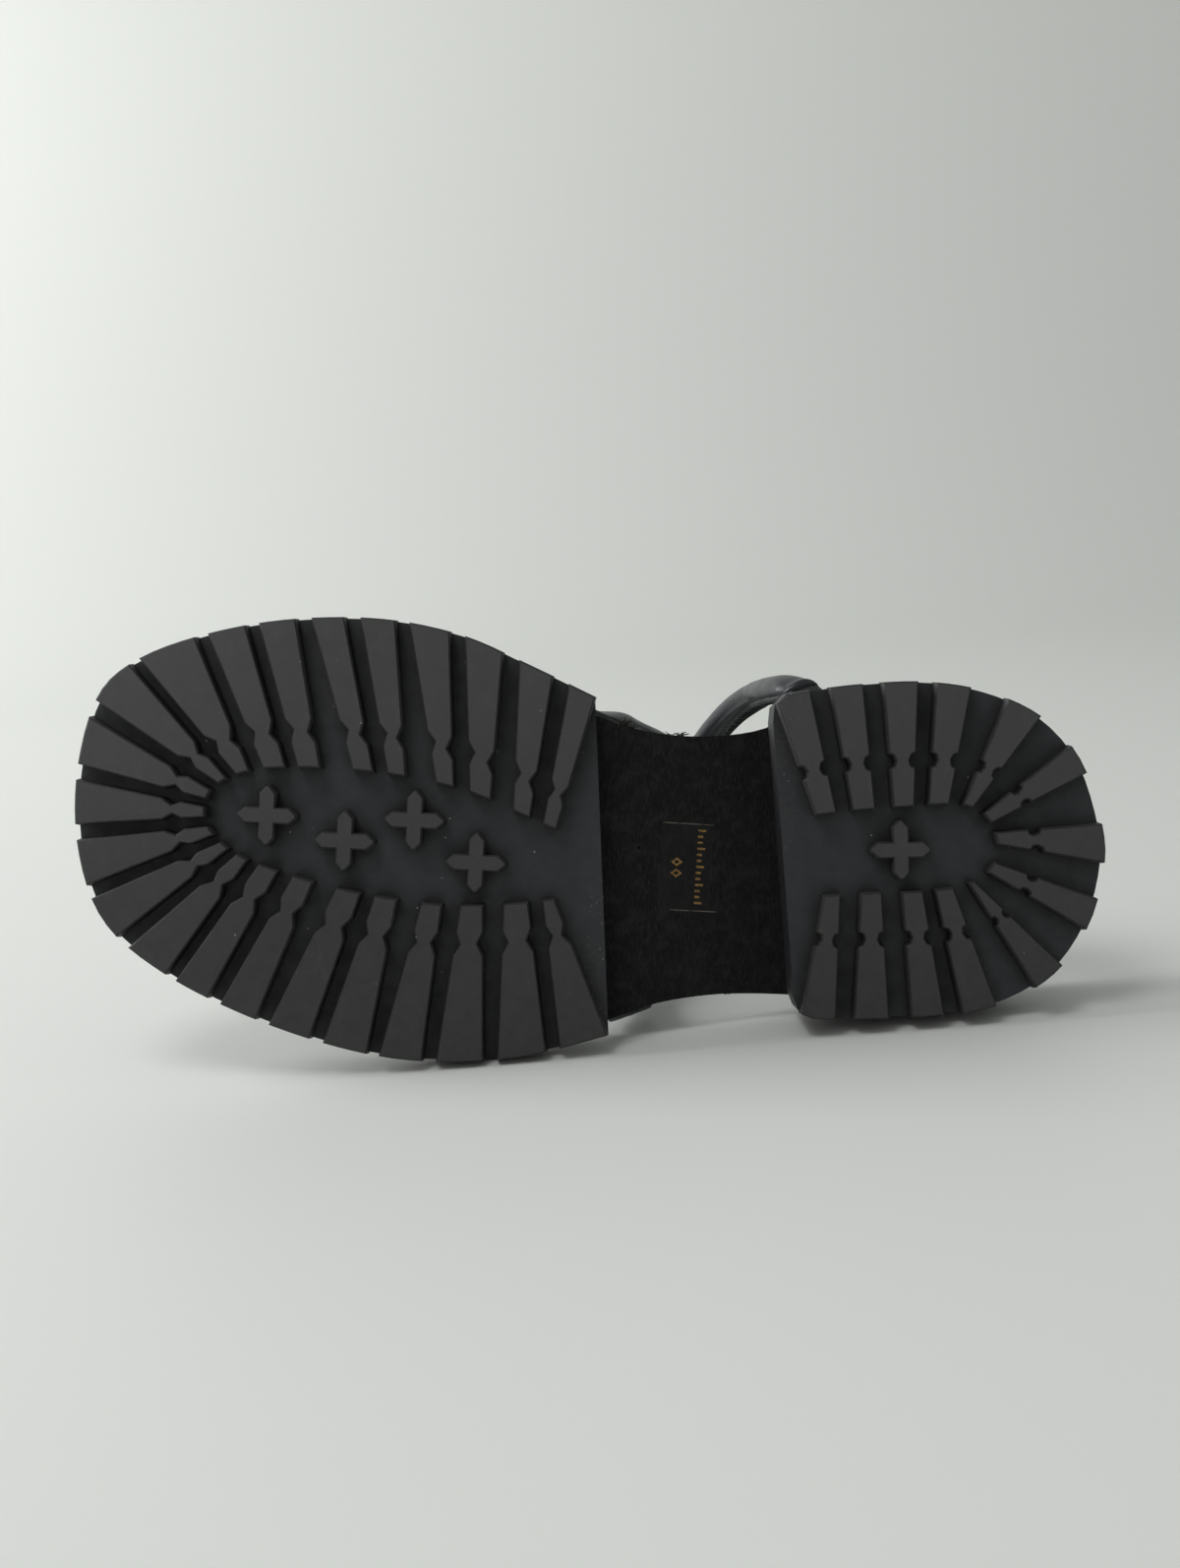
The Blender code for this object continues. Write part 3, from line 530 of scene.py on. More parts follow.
def board_look():
    """Bonded leather board: fine fibres across the shoe, and the pressed panel of the stamp."""
    look = Look("runner_board")
    look.shader.inputs["Specular IOR Level"].default_value = 0.15
    fibres = look.noise(0.42, 4.0, 0.65, look.stretched(1.0, 5.0, 5.0))
    threads = look.noise(0.9, 3.0, 0.6, look.stretched(1.0, 5.0, 5.0, 12))
    clouds = look.noise(4.5, 5.0, 0.65)
    colour = look.mix(look.spread(fibres, 0.42, 0.75), *BOARD)
    colour = look.mix(look.spread(threads, 0.60, 0.80, 0.0, 0.35), colour, BOARD_THREAD)
    colour = look.mix(look.spread(clouds, 0.45, 0.68, 0.0, 0.5), colour, BOARD_CLOUD)
    colour = look.paint(colour, look.specks(2.6, 0.16, 0.22), BOARD_FLUFF, 0.5)
    panel = look.times(look.within(look.along, *STAMP_ALONG, 0.3),
                       look.within(look.across, *STAMP_ACROSS, 0.3))
    colour = look.paint(colour, panel, BOARD_PANEL, 0.35)
    # Painted shade: a near-black dot, sunk by the bump, stands in for the dark inside of the pinhole.
    pin = look.add("VectorMath", {0: look.place, 1: (*PINHOLE, seat_line(PINHOLE[0]))}, operation="DISTANCE")
    hole = look.spread(pin.outputs["Value"], 0.55, 0.35)
    colour = look.mix(hole, colour, PINHOLE_PAINTED_SHADE)
    cut_edge = look.spread(look.levelness(), 0.75, 0.45)
    raw = look.mix(look.spread(look.noise(0.9, 4.0, 0.7), 0.55, 0.68), *CUT_EDGE)
    colour = look.mix(cut_edge, colour, raw)
    look.bump([(fibres, 0.09), (threads, 0.07), (clouds, 0.12), (panel, -0.06), (hole, -0.5)])
    return look.connect(colour, look.spread(panel, 0.0, 1.0, 0.85, 0.68))


RUBBED_GAIN = 1.9  # in lightness, where the leather is rubbed
# Near black, laid on by that attribute: painted shade by the seams and end bands, and the lining's dark
# colour.
PAINTED_SHADE_AND_LINING = (0.003, 0.003, 0.0035)


def leather_look(name, dark, light, roughness, grain_size):
    """Smooth coated leather: fine grain, a few rubbed places, painted shade by the seams and a dark lining.
    """
    look = Look(name)
    colour = look.mix(look.noise(11.0, 4.0), dark, light)
    rubbed = look.spread(look.noise(2.2, 5.0, 0.65), 0.60, 0.85, 0.0, 0.35)
    colour = look.mix(rubbed, colour, tuple(channel * RUBBED_GAIN for channel in light))
    shade = look.add("Attribute", attribute_name=PAINTED_SHADE_AND_LINING_LAYER).outputs["Fac"]
    colour = look.paint(colour, shade, PAINTED_SHADE_AND_LINING, 0.92)
    cells = look.add("TexVoronoi", {"Vector": look.place, "Scale": 1 / grain_size},
                     feature="SMOOTH_F1").outputs["Distance"]
    look.bump([(look.noise(3.0, 3.0), 0.03), (cells, 0.03), (look.noise(0.25, 2.0), 0.012)])
    polish = look.spread(look.noise(5.0, 4.0), 0.3, 0.7, roughness - 0.05, roughness + 0.07)
    return look.connect(colour, look.math("MULTIPLY_ADD", shade, 0.75, polish))


FOIL = ((0.30, 0.17, 0.045), (0.060, 0.040, 0.022))  # bright, and worn off
PRESSED_LINE = ((0.10, 0.092, 0.075), (0.020, 0.020, 0.020))


def worn_look(name, roughness, colours, size, low, high, stretch=1.0, metallic=0.0):
    """Foil, or a rubbed line, that is worn off in places."""
    look = Look(name, roughness)
    look.shader.inputs["Metallic"].default_value = metallic
    worn = look.spread(look.noise(size, 3.0, 0.6, look.stretched(stretch)), low, high)
    look.bump([(look.noise(0.3, 2.0), 0.03)])
    return look.connect(look.mix(worn, *colours))


def fibre_look(name, dark, light):
    """Dull thread or hair."""
    look = Look(name, roughness=0.8)
    look.bump([(look.noise(0.2, 2.0), 0.02)])
    return look.connect(look.mix(look.noise(0.6, 2.0), dark, light))


# ---- the stamp: a plain row of foil ticks and two lozenges, with no lettering ----
STAMP_ALONG = (94.2, 107.2)
STAMP_ACROSS = (-21.8, 0.0)
PINHOLE = (112.7, -6.7)
TICKS = 13
TICKS_ALONG = (96.0, 98.0)
TICKS_ACROSS = (-19.8, -1.6)
TICK_HALF_WIDTH = 0.28
SHORT_TICK_CUT = 0.7  # two of three ticks are this much shorter
LOZENGES = [(103.0, -9.7), (103.0, -12.5)]
LOZENGE_HALF = (1.5, 1.1)
LOZENGE_HOLE = 0.5  # share of a lozenge that is left open
LINE_HALF_WIDTH = 0.14
OUTER_LINE_ALONG = (91.8, 104.0)
FOIL_PROUD = 0.02


def on_board(along, across):
    """A point just below the board's underside."""
    return Vector((along, across, seat_line(along) + GAP - FOIL_PROUD))


def add_patch(mesh, corners, steps):
    """A thin patch on the board, from four corners in plan."""
    a, b, c, d = (Vector(corner) for corner in corners)
    rows = []
    for i in range(steps + 1):
        start, end = a.lerp(d, i / steps), b.lerp(c, i / steps)
        rows.append([mesh.verts.new(on_board(*start.lerp(end, j / steps))) for j in range(steps + 1)])
    for near, far in zip(rows, rows[1:]):
        for j in range(steps):
            mesh.faces.new((near[j], near[j + 1], far[j + 1], far[j]))


def add_line(mesh, low, high, across, half_width, steps):
    """A thin line on the board, along the shoe."""
    near, far = across - half_width, across + half_width
    add_patch(mesh, [(low, near), (high, near), (high, far), (low, far)], steps)


def build_stamp():
    """The foil ticks and the lozenges."""
    mesh = bmesh.new()
    start, end = TICKS_ACROSS
    for i in range(TICKS):
        low, high = TICKS_ALONG
        if i % 3:
            low += SHORT_TICK_CUT
        add_line(mesh, low, high, start + (end - start) * i / (TICKS - 1), TICK_HALF_WIDTH, 4)
    half_along, half_across = LOZENGE_HALF
    tips = [Vector(tip) for tip in ((half_along, 0), (0, half_across), (-half_along, 0), (0, -half_across))]
    for centre in map(Vector, LOZENGES):
        for here, there in zip(tips, tips[1:] + tips[:1]):
            offsets = (here, there, there * LOZENGE_HOLE, here * LOZENGE_HOLE)
            add_patch(mesh, [centre + offset for offset in offsets], 2)
    foil = worn_look("stamp_foil", 0.45, FOIL, size=0.5, low=0.50, high=0.64, metallic=0.35)
    return new_object("stamp_ticks", mesh, foil)


def build_stamp_lines():
    """The two lines that close the stamp's panel."""
    mesh = bmesh.new()
    outer, inner = STAMP_ACROSS
    add_line(mesh, *STAMP_ALONG, inner, LINE_HALF_WIDTH, 8)
    add_line(mesh, *OUTER_LINE_ALONG, outer, LINE_HALF_WIDTH, 8)
    pressed = worn_look("pressed_line", 0.40, PRESSED_LINE, size=0.9, low=0.42, high=0.60, stretch=2.0)
    return new_object("stamp_lines", mesh, pressed)


# ---- footbed ----
FOOTBED_EDGE = 1.7  # radius of its upper edge
FOOTBED_BEVEL = 0.35  # of its lower edge
FOOTBED_CUTS_ALONG = range(6, 248, 3)  # they give its top the points to sink
FOOTBED_CUTS_ACROSS = range(-54, 40, 3)
HOLLOW_FADE = (60.0, 80.0)  # where the hollow starts to fade, and over what length
HOLLOW_LOSS = 0.5


def offset_outline(outline, inset):
    """The outline with each side moved in by an inset; it runs anticlockwise."""
    moved = []
    for before, here, after in zip(outline[-1:] + outline[:-1], outline, outline[1:] + outline[:1]):
        come, leave = (here - before).normalized(), (after - here).normalized()
        inward = Vector((-come.y - leave.y, come.x + leave.x))
        moved.append(here + inward.normalized() * inset / max(inward.length / 2, 0.5))
    return moved


def hollow_drop(along, across):
    """Drop of the footbed's hollow between its edges."""
    inner, outer = insole_edge(along, 1), insole_edge(along, -1)
    offset = (2 * across - inner - outer) / (inner - outer)
    fade_from, fade_run = HOLLOW_FADE
    depth = HEEL_DISH * (1.0 - HOLLOW_LOSS * smoothstep((along - fade_from) / fade_run))
    return depth * max(0.0, 1.0 - offset ** 2)


def stack(layers):
    """A closed skin through outlines in plan, each at its height."""
    mesh = bmesh.new()
    add_loops(mesh, [[Vector((*point, up)) for point in outline] for outline, up in layers])
    bmesh.ops.recalc_face_normals(mesh, faces=mesh.faces[:])
    return mesh


def build_footbed(material):
    """The insole again, with a rounder edge and a finer surface."""
    outer = [(row.along, row.outer) for row in PLATFORM]
    inner = [(row.along, row.inner) for row in reversed(PLATFORM)]
    outline = smooth_loop([HEEL_BACK] + outer + [TOE_FRONT] + inner, 5)
    edge_from = FOOTBED - FOOTBED_EDGE
    rings = [(INSOLE_INSET + FOOTBED_BEVEL, INSOLE_BOTTOM), (INSOLE_INSET, INSOLE_BOTTOM + FOOTBED_BEVEL)]
    for turn in range(0, 91, 18):
        angle = radians(turn)
        inset = INSOLE_INSET + FOOTBED_EDGE * (1 - cos(angle))
        rings.append((inset, edge_from + FOOTBED_EDGE * sin(angle)))
    mesh = stack([(offset_outline(outline, inset), up) for inset, up in rings])
    for normal, places in (((1, 0, 0), FOOTBED_CUTS_ALONG), ((0, 1, 0), FOOTBED_CUTS_ACROSS)):
        for place in places:
            bmesh.ops.bisect_plane(mesh, geom=mesh.verts[:] + mesh.edges[:] + mesh.faces[:], dist=0.01,
                                   plane_co=Vector(normal) * place, plane_no=normal)
    for vertex in mesh.verts:
        point = vertex.co
        if point.z > FOOTBED - 0.01:
            point.z -= hollow_drop(point.x, point.y)
    footbed = new_object("footbed", mesh, material)
    for strap in STRAPS:
        for root, side in ((strap.inner_root, 1), (strap.outer_root, -1)):
            cut(footbed, build_pocket(root, side, material))
    return footbed


def build_pocket(root, side, material):
    """The room that a strap's end takes in the footbed."""
    half = TAB_WIDTH / 2 + GAP
    back = -TAB_REACH - GAP
    corners = [root_place(root, side, out, sideways) for out, sideways in
               ((back, -half), (back, half), (POCKET_REACH, half), (POCKET_REACH, -half))]
    mesh = stack([(corners, up) for up in (0.0, TAB_TOP + POCKET_HEADROOM)])
    return new_object("pocket", mesh, material)


def cut(target, tool):
    """Take the tool out of the target, and remove it."""
    modifier = target.modifiers.new("cut", "BOOLEAN")
    modifier.operation = "DIFFERENCE"
    modifier.solver = "EXACT"
    modifier.object = tool
    graph = bpy.context.evaluated_depsgraph_get()
    result = bpy.data.meshes.new_from_object(target.evaluated_get(graph))
    target.modifiers.clear()
    target.data = result
    bpy.data.objects.remove(tool)


def lift_to_seat(target):
    """Lift a piece built over a level seat to the seat line, and press it flat where it meets the floor."""
    place = Matrix.Scale(MM, 4) @ shoe_to_row()
    back = place.inverted()
    for vertex in target.data.vertices:
        point = back @ vertex.co
        point.z += seat_line(point.x)
        vertex.co = place @ point
        vertex.co.z = max(vertex.co.z, 0.0)


# ---- straps ----

def last_point(along, turn):
    """Point of the foot form, from its inner side at turn 0 over the instep to its outer side at 180."""
    inner = insole_edge(along, 1) + GAP + ROOT_BEND
    outer = insole_edge(along, -1) - GAP - ROOT_BEND
    ridge = (inner + outer) / 2 + RIDGE_SHIFT
    cosine = cos(radians(turn))
    sine = sin(radians(turn))
    rise = read_table(FOOT, along, "up") * sine
    if cosine > 0:
        reach = inner - ridge + read_table(FOOT, along, "inner_swell") * rise * (1 - sine)
    else:
        reach = ridge - outer - read_table(FOOT, along, "outer_lean") * rise * (1 - sine)
    return Vector((along, ridge + reach * cosine, FOOTBED + rise))


def last_normal(along, turn):
    """Outward normal of the foot form."""
    step = 0.5
    round_it = last_point(along, turn + step) - last_point(along, turn - step)
    along_it = last_point(along + step, turn) - last_point(along - step, turn)
    return round_it.cross(along_it).normalized()


def root_line(root, side):
    """Lining line of a strap's end, from under the insole up round its edge, with outward directions."""
    down = Vector((0, 0, -1))
    out = edge_outward(root, side).to_3d()
    line = [(root_place(root, side, -reach).to_3d() - down * TAB_TOP, down)
            for reach in (TAB_REACH, TAB_REACH / 2)]
    centre = root_place(root, side, GAP).to_3d() - down * (TAB_TOP + ROOT_BEND)
    for turn in (0, 30, 60, 90):
        angle = radians(turn)
        outward = out * sin(angle) + down * cos(angle)
        line.append((centre + outward * ROOT_BEND, outward))
    return line


def ease_between(start, start_way, end, end_way, count):
    """Points on a cubic between two places, leaving and arriving in the given directions."""
    span = (end - start).length
    return [cubic(start, start_way, end, end_way, span, i / (count + 1)) for i in range(1, count + 1)]


def place_along(strap, turn):
    """Where a strap lies along the shoe at a turn round the foot."""
    share = sin(radians(turn / 2)) ** strap.lead
    return strap.inner_root + (strap.outer_root - strap.inner_root) * share


def strap_line(strap):
    """Lining line of a strap from tab to tab: (point, outward, turn) for each named ring."""

    def on_last(turn):
        along = place_along(strap, turn)
        return last_point(along, turn), last_normal(along, turn)

    def end_line(root, side, turn):
        line = root_line(root, side)
        foot, foot_out = line[-1]
        arch_turn = turn + side * ARCH_START
        target, target_out = on_last(arch_turn)
        way = (on_last(arch_turn + side)[0] - target).normalized()
        for i, point in enumerate(ease_between(foot, Vector((0, 0, 1)), target, way, EASED_POINTS), 1):
            line.append((point, foot_out.lerp(target_out, i / (EASED_POINTS + 1))))
        return [(point, outward, turn) for point, outward in line]

    arch = [ARCH_START + (180 - 2 * ARCH_START) * i / ARCH_STEPS for i in range(ARCH_STEPS + 1)]
    return (end_line(strap.inner_root, 1, 0) + [(*on_last(turn), turn) for turn in arch]
            + end_line(strap.outer_root, -1, 180)[::-1])


def crossing_turn():
    """Turn round the foot at which the two straps lie at the same place along the shoe."""
    turn = 0
    while place_along(STRAPS[0], turn) < place_along(STRAPS[1], turn):
        turn += 1
    return turn


Ring = namedtuple("Ring", "place sideways outward run to_end turn")


def fine_rings(strap):
    """Rings at an even, fine spacing along a strap's lining line."""
    line = strap_line(strap)
    lengths = [(end[0] - start[0]).length for start, end in zip(line, line[1:])]
    fine = []
    for i, length in enumerate(lengths):
        span = [line[min(max(j, 0), len(line) - 1)] for j in range(i - 1, i + 3)]
        to_tip = min(sum(lengths[:i]), sum(lengths[i + 1:]))
        steps = max(1, round(length / (BAND_RING_SPACING if to_tip < BAND_END else RING_SPACING)))
        for step in range(steps):
            t = step / steps
            fine.append((catmull_rom(*(entry[0] for entry in span), t),
                         span[1][1].lerp(span[2][1], t), span[1][2] + (span[2][2] - span[1][2]) * t))
    fine.append(line[-1])
    travelled = [0.0]
    for (start, _, _), (end, _, _) in zip(fine, fine[1:]):
        travelled.append(travelled[-1] + (end - start).length)
    rings = []
    for i, (point, outward, turn) in enumerate(fine):
        way = (fine[min(i + 2, len(fine) - 1)][0] - fine[max(i - 2, 0)][0]).normalized()
        outward = (outward - way * outward.dot(way)).normalized()
        run = travelled[i]
        rings.append(Ring(point, way.cross(outward), outward, run, travelled[-1] - run, turn))
    return rings


def strap_profile(pad, thickness):
    """Section of a strap, a tube flattened on the lining side; pad 0 is a plain tab."""
    turns = (-36, -6, 26, 58, 90, 122, 154, 186, 216)
    full = [(STRAP_TUBE / 4, 0.0)]
    full += [(STRAP_TUBE / 2 * cos(radians(turn)),
              thickness / 2 * (1 + sin(radians(turn)))) for turn in turns]
    full += [(-STRAP_TUBE / 4, 0.0)]
    flat = [(TAB_WIDTH / 2, 0.1)]
    for i in range(len(turns)):
        share = 1 - 2 * i / (len(turns) - 1)
        flat.append((TAB_WIDTH / 2 * sin(share * pi / 2),
                     TAB_THICKNESS * (1 - TAB_ROUNDING * share ** 6)))
    flat += [(-TAB_WIDTH / 2, 0.1)]
    return [(near[0] + (far[0] - near[0]) * pad, near[1] + (far[1] - near[1]) * pad)
            for near, far in zip(flat, full)]


def strap_section(pad, thickness):
    """Points round a strap's smooth section."""
    return [(point.x, point.y) for point in smooth_loop(strap_profile(pad, thickness), SECTION_STEPS)]


def section_out(x, y, thickness):
    return (Vector((x, y)) - Vector((0.0, thickness / 2))).normalized()


def seam_turn(number, ring):
    """Turn round the tube at which the seam runs."""
    turn = read_table(SEAM, min(ring.run, ring.to_end), "turn")
    if number == 1:
        turn += (LINING_SEAM - turn) * (1 - smoothstep((ring.run - LINING_SEAM_RUN) / LINING_SEAM_EASE))
    return turn if STRAPS[number].seam_side < 0 else 180 - turn


def padded_section():
    """The section of a strap at its fullest, and the turn round the tube of each of its points."""
    section = strap_section(1.0, STRAP_PAD)
    return section, [degrees(atan2(y - STRAP_PAD / 2, x)) % 360 for x, y in section]


def past_seam(number, ring, section, turns):
    """Distance round the section from the seam to each of its points; it grows over the stitched edge."""
    count = len(section)
    steps = [(Vector(section[(i + 1) % count]) - Vector(section[i])).length for i in range(count)]
    round_it = sum(steps)
    travelled = [sum(steps[:i]) for i in range(count)]
    misses = [(turn - seam_turn(number, ring) + 180) % 360 - 180 for turn in turns]
    nearest = min(range(count), key=lambda i: abs(misses[i]))
    other = (nearest + (1 if misses[nearest] < 0 else -1)) % count
    share = abs(misses[nearest]) / max(abs(misses[nearest]) + abs(misses[other]), 1e-6)
    at_seam = travelled[nearest] - copysign(share * steps[nearest], misses[nearest])
    way = -STRAPS[number].seam_side
    return [((length - at_seam + round_it / 2) % round_it - round_it / 2) * way for length in travelled]


def bell(distance, width):
    return exp(-(distance / width) ** 2)


def stitch_phase(run, past):
    """How far a point lies from the nearest stitch, along the strap."""
    return (run + STITCH_SLANT * (past - EDGE_ROW)) % STITCH_SPACING - STITCH_SPACING / 2


def own_turn(strap, turn):
    """Turn round the tube, counted the way its seam lies."""
    return turn if strap.seam_side < 0 else (180 - turn) % 360


def seam_relief(strap, ring, turn, past):
    """Height and darkness of the skin by the seam: a valley, a ridge, a row of stitches and a raw edge."""
    share = smoothstep((min(ring.run, ring.to_end) - SEAM_START) / SEAM_EASE)
    if share == 0.0 or past < -SEAM_REACH:
        return 0.0, 0.0
    phase = stitch_phase(ring.run, past)
    hole = bell(phase, 0.50) * bell(past - EDGE_ROW, 0.75)
    on_edge = smoothstep(past / 0.6) * (1 - smoothstep((past - EDGE_END + 0.3) / 0.4))
    proud = -SEAM_DEPTH * bell(past, SEAM_WIDTH)
    proud += on_edge * EDGE_PROUD * (0.35 + 0.65 * bell(past - EDGE_RIDGE, 0.7))
    proud -= PUCKER_DEPTH * bell(phase, 0.5) * bell(past - EDGE_RIDGE, 0.6) + HOLE_DEPTH * hole
    proud -= RAW_EDGE_DEPTH * bell(past - EDGE_END - 0.35, 0.3)
    middle, half = DARK_LINING
    off_lining = abs((own_turn(strap, turn) - middle + 180) % 360 - 180) - half
    lining = smoothstep((past - EDGE_ROW) / 0.6) * (1 - smoothstep(off_lining / DARK_LINING_FADE))
    # Painted shade in the valley and stitch holes, and the lining's own dark colour past the stitches.
    dark = 0.35 * bell(past, 0.4) + hole + lining
    return proud * share, min(dark, 1.0) * share


def tab_relief(strap, ring, turn):
    """Height and darkness of the skin by the cross band of a strap's end, on the outside."""
    run = min(ring.run, ring.to_end)
    if run > BAND_END:
        return 0.0, 0.0
    turn = own_turn(strap, turn)
    fade_in, fade_out = (smoothstep((turn - start) / BAND_FADE) for start in BAND_TURNS)
    shown = fade_in * (1 - fade_out)
    low, high = read_table(BAND, turn, "low"), read_table(BAND, turn, "high")
    line, lip = bell(run - low, 0.45 if run < low else 0.16), bell(run - high, 0.16)
    nick = bell(run - high, 0.4) * bell(turn - BAND_NICK_TURN, 7)
    proud = BAND_PROUD * smoothstep((run - low + 0.1) / 0.25) * (1 - smoothstep((run - high) / 3.0))
    proud -= BAND_LINE_DEPTH * line + BAND_LIP_DEPTH * lip
    # The darkness is painted shade: under the band's lower edge, along its lip and in its nick.
    return proud * shown, min(line + 0.45 * lip + nick, 1.0) * shown


def strap_point(number, ring, x, y, turn, past, pad, thickness):
    """A point of a strap's skin, with its seams, creases and slight unevenness, and how dark it is."""
    out = section_out(x, y, thickness)
    by_seam, seam_shade_and_lining = seam_relief(STRAPS[number], ring, turn, past)
    by_tab, tab_painted_shade = tab_relief(STRAPS[number], ring, turn)
    proud = by_seam + by_tab
    for crease in CREASES:
        if crease.strap == number and abs(ring.run - crease.run) < 4 * crease.half_length:
            off = ring.run - crease.run + CREASE_SLANT * (turn - crease.turn)
            nearness = (off / crease.half_length) ** 2 + ((turn - crease.turn) / crease.half_turn) ** 2
            proud -= crease.depth * exp(-nearness)
    place = ring.place + ring.sideways * x + ring.outward * y
    proud += pad * sum(height * noise.noise(place * waves) for height, waves in UNEVENNESS)
    return place + (ring.sideways * out.x + ring.outward * out.y) * proud, max(seam_shade_and_lining, tab_painted_shade)


def strap_rings(number, strap):
    """Loops of (point, darkness) for a strap's skin, with the lift and squeeze of the crossing."""
    centre_turn = crossing_turn()
    turns = padded_section()[1]
    tab_run = TAB_REACH + GAP + ROOT_BEND * pi / 4
    loops, placed = [], []
    for ring in fine_rings(strap):
        pad = min(smoothstep((ring.run - tab_run - strap.inner_pad_from) / strap.inner_pad_run),
                  smoothstep((ring.to_end - tab_run) / strap.outer_pad_run))
        easing = smoothstep(max(0.0, 1 - abs(ring.turn - centre_turn) / CROSSING_SPREAD))
        thickness = STRAP_PAD * (1 - strap.squeeze * easing)
        ring = ring._replace(place=ring.place + ring.outward * strap.lift * easing)
        placed.append(ring)
        section = strap_section(pad, thickness)
        loops.append([strap_point(number, ring, *point, turn, past, pad, thickness)
                      for point, turn, past in zip(section, turns, past_seam(number, ring, section, turns))])
    return placed, loops


def build_straps(material):
    mesh = bmesh.new()
    darkness = mesh.verts.layers.float.new(PAINTED_SHADE_AND_LINING_LAYER)
    all_rings = []
    for number, strap in enumerate(STRAPS):
        rings, loops = strap_rings(number, strap)
        all_rings.append(rings)
        skin = add_loops(mesh, [[point for point, dark in loop] for loop in loops])
        for vertices, loop in zip(skin, loops):
            for vertex, (point, dark) in zip(vertices, loop):
                vertex[darkness] = dark
    bmesh.ops.recalc_face_normals(mesh, faces=mesh.faces[:])
    return new_object("straps", mesh, material), all_rings


def on_section(number, ring, past, proud):
    """A point over a strap's fullest section, at a distance past its seam."""
    section, turns = padded_section()
    distances = past_seam(number, ring, section, turns)
    nearest = min(range(len(section)), key=lambda i: abs(distances[i] - past))
    x, y = section[nearest]
    out = section_out(x, y, STRAP_PAD)
    return ring.place + ring.sideways * (x + out.x * proud) + ring.outward * (y + out.y * proud)


def build_stitches(all_rings, material):
    """Thread in the stitch holes, slanted as they are."""
    mesh = bmesh.new()
    for number, rings in enumerate(all_rings):
        next_run = STITCHES_FROM
        for i, ring in enumerate(rings):
            in_hole = abs(stitch_phase(ring.run, EDGE_ROW)) <= RING_SPACING * 0.6
            if not in_hole or ring.run < next_run or ring.to_end < STITCHES_FROM:
                continue
            next_run = ring.run + STITCH_SPACING / 2
            add_thread(mesh, [on_section(number, rings[i + ahead], EDGE_ROW + past, proud)
                              for ahead, past, proud in STITCH_PATH], STITCH_RADIUS)
    return new_object("strap_stitches", mesh, material)


# ---- fibres of the board's cut edge ----

def add_hair(mesh, rng, along, side, length, radius):
    """A curled fibre that starts on the board's edge."""
    outward = edge_outward(along, side).to_3d()
    height = rng.uniform(0.1, MIDSOLE_THICKNESS * 0.5)
    start = Vector((along, read_table(PLATFORM, along, edge_column(side)), seat_line(along) + GAP + height))
    start -= outward * HAIR_ROOT
    way = (outward + Vector((rng.uniform(-0.7, 0.7), 0.0, rng.uniform(-0.5, 0.2)))).normalized()
    curl = Vector((rng.uniform(-1.3, 1.3), 0.0, rng.uniform(-0.6, 0.6))) - outward * rng.uniform(0.0, 0.7)
    points = [start + way * length * t + curl * length * t * t for t in (0.0, 0.25, 0.5, 0.75, 1.0)]
    add_thread(mesh, points, radius, sides=4)


def build_fibres(material):
    """The tufts, and a short nap along both edges of the waist."""
    rng = random.Random(38)
    mesh = bmesh.new()
    for tuft in TUFTS:
        for _ in range(tuft.hairs):
            along = tuft.along + rng.gauss(0.0, TUFT_SCATTER)
            length = tuft.length * rng.uniform(*TUFT_LENGTHS)
            add_hair(mesh, rng, along, tuft.side, length, rng.uniform(*TUFT_RADII))
    for side in (1, -1):
        for _ in range(NAP_HAIRS):
            along, length = rng.uniform(*NAP_ALONG), rng.uniform(*NAP_LENGTHS)
            add_hair(mesh, rng, along, side, length, rng.uniform(*NAP_RADII))
    return new_object("board_fibres", mesh, material)


# ---- stage, in metres ----
SWEEP_REACH = 3.0  # to the front and to both sides
SWEEP_BEND = 0.9  # where the floor starts to curve up
SWEEP_RADIUS = 0.6
SWEEP_HEIGHT = 3.0
SWEEP_COLOUR = (0.80, 0.815, 0.79, 1.0)
WORLD_COLOUR = (0.93, 0.96, 0.93, 1.0)
WORLD_STRENGTH = 0.31

LAMPS = [
    ("key", (-0.28, -0.38, 0.85), (0.0, -0.03, 0.04), (0.35, 0.35), 2.0),
    ("left_window", (-1.5, 0.35, 0.9), (0.0, 0.95, 0.2), (0.8, 1.2), 23.5),
    ("front_fill", (-0.7, -1.3, 0.9), (0.0, 0.0, 0.05), (0.9, 0.9), 0.9),
]


def build_sweep():
    """A pale floor that curves up into a backdrop far behind the sandal."""
    material = bpy.data.materials.new("studio_sweep")
    material.use_nodes = True
    shader = material.node_tree.nodes["Principled BSDF"]
    shader.inputs["Base Color"].default_value = SWEEP_COLOUR
    shader.inputs["Roughness"].default_value = 0.55
    line = [(-SWEEP_REACH, 0.0), (SWEEP_BEND, 0.0)]
    line += [(SWEEP_BEND + SWEEP_RADIUS * sin(radians(turn)),
              SWEEP_RADIUS - SWEEP_RADIUS * cos(radians(turn))) for turn in range(9, 91, 9)]
    line += [(SWEEP_BEND + SWEEP_RADIUS, SWEEP_HEIGHT)]
    mesh = bmesh.new()
    rows = [[mesh.verts.new((x, y, z)) for x in (-SWEEP_REACH, SWEEP_REACH)] for y, z in line]
    for near, far in zip(rows, rows[1:]):
        mesh.faces.new((near[0], near[1], far[1], far[0]))
    link_mesh("sweep", mesh, material)


def add_light(name, place, target, size, power):
    """A soft rectangular light that faces its target."""
    data = bpy.data.lights.new(name, "AREA")
    data.shape = "RECTANGLE"
    data.size, data.size_y = size
    data.energy = power
    light = link_object(name, data)
    light.location = place
    light.rotation_euler = (Vector(target) - Vector(place)).to_track_quat("-Z", "Y").to_euler()


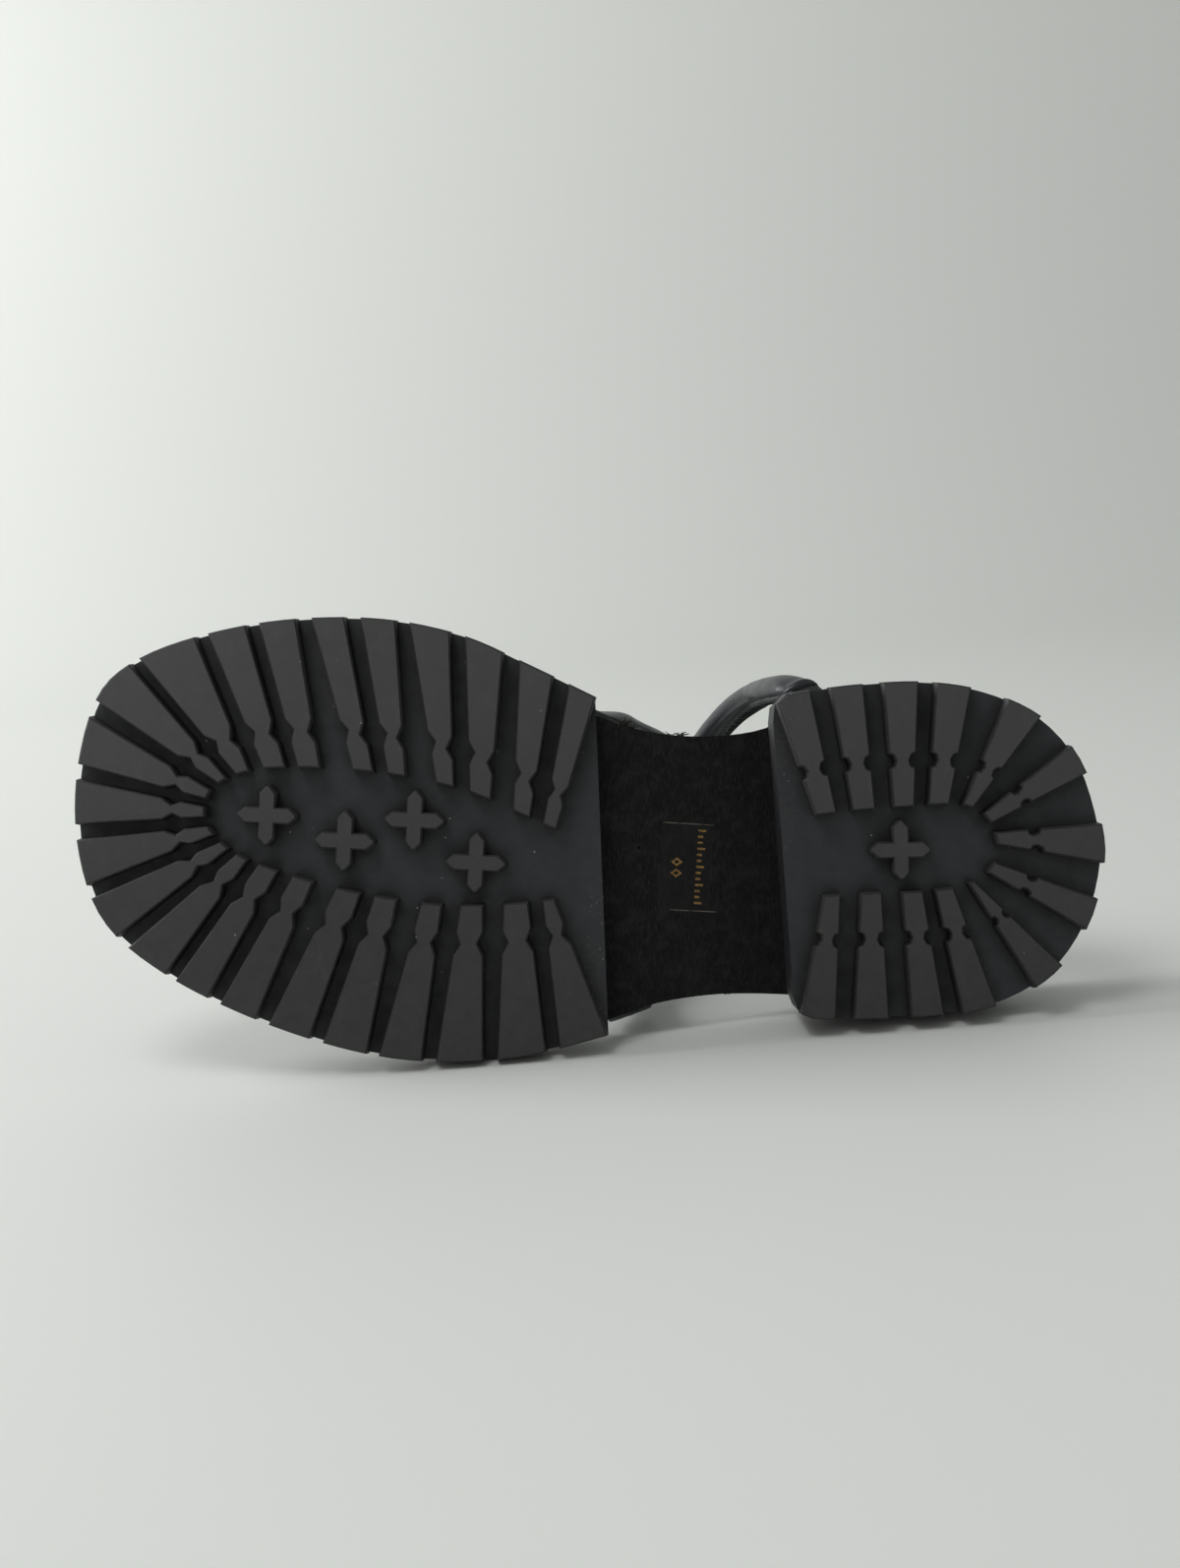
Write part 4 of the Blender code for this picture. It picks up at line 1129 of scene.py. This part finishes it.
def build_studio():
    build_sweep()
    for lamp in LAMPS:
        add_light(*lamp)
    world = bpy.data.worlds.new("studio")
    world.use_nodes = True
    background = world.node_tree.nodes["Background"]
    background.inputs["Color"].default_value = WORLD_COLOUR
    background.inputs["Strength"].default_value = WORLD_STRENGTH
    bpy.context.scene.world = world


def build_camera():
    """The photo's view, square to the tread and rolled a little."""
    cosine, sine = cos(CAMERA_ROLL), sin(CAMERA_ROLL)
    right, up, back = Vector((-cosine, sine, 0)), Vector((sine, cosine, 0)), Vector((0, 0, -1))
    pose = Matrix((right, up, back)).transposed().to_4x4()
    place = shoe_to_row() @ Matrix.Translation(CAMERA_AT) @ pose
    place.translation *= MM
    data = bpy.data.cameras.new("camera")
    data.lens = LENS
    data.clip_start, data.clip_end = CAMERA_CLIP
    camera = link_object("camera", data)
    camera.matrix_world = place
    bpy.context.scene.camera = camera


# ---- the scene ----

leather = leather_look("strap_leather", dark=(0.020, 0.022, 0.026), light=(0.034, 0.037, 0.043),
                       roughness=0.34, grain_size=0.9)
lining = leather_look("footbed_lining", dark=(0.016, 0.016, 0.017), light=(0.026, 0.026, 0.028),
                      roughness=0.58, grain_size=0.7)
thread = fibre_look("thread", dark=(0.006, 0.006, 0.007), light=(0.020, 0.020, 0.022))
fibre = fibre_look("board_fibre", dark=(0.006, 0.005, 0.005), light=(0.035, 0.028, 0.022))

for node, material in (
        ("outsole", rubber_look("outsole_rubber", middle=-8.0, dirt_from=116.0, dirt_to=124.0)),
        ("heel", rubber_look("heel_rubber", middle=-3.0, dirt_from=76.0, dirt_to=84.0)),
        ("midsole", board_look())):
    nodes[node].data.materials.clear()
    nodes[node].data.materials.append(material)

straps, rings = build_straps(leather)
footbed = build_footbed(lining)
stitches = build_stitches(rings, thread)
for piece in (straps, footbed, stitches):
    lift_to_seat(piece)
stamp, stamp_lines = build_stamp(), build_stamp_lines()
fibres = build_fibres(fibre)

for piece, slot in ((straps, "strap_leather"), (stitches, "strap_leather"), (footbed, "footbed"),
                    (fibres, "runner_board"), (stamp, "runner_board"), (stamp_lines, "runner_board")):
    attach(piece, "root")
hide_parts("upper")
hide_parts("insole")

build_studio()
build_camera()
bpy.context.scene.view_settings.view_transform = "Standard"
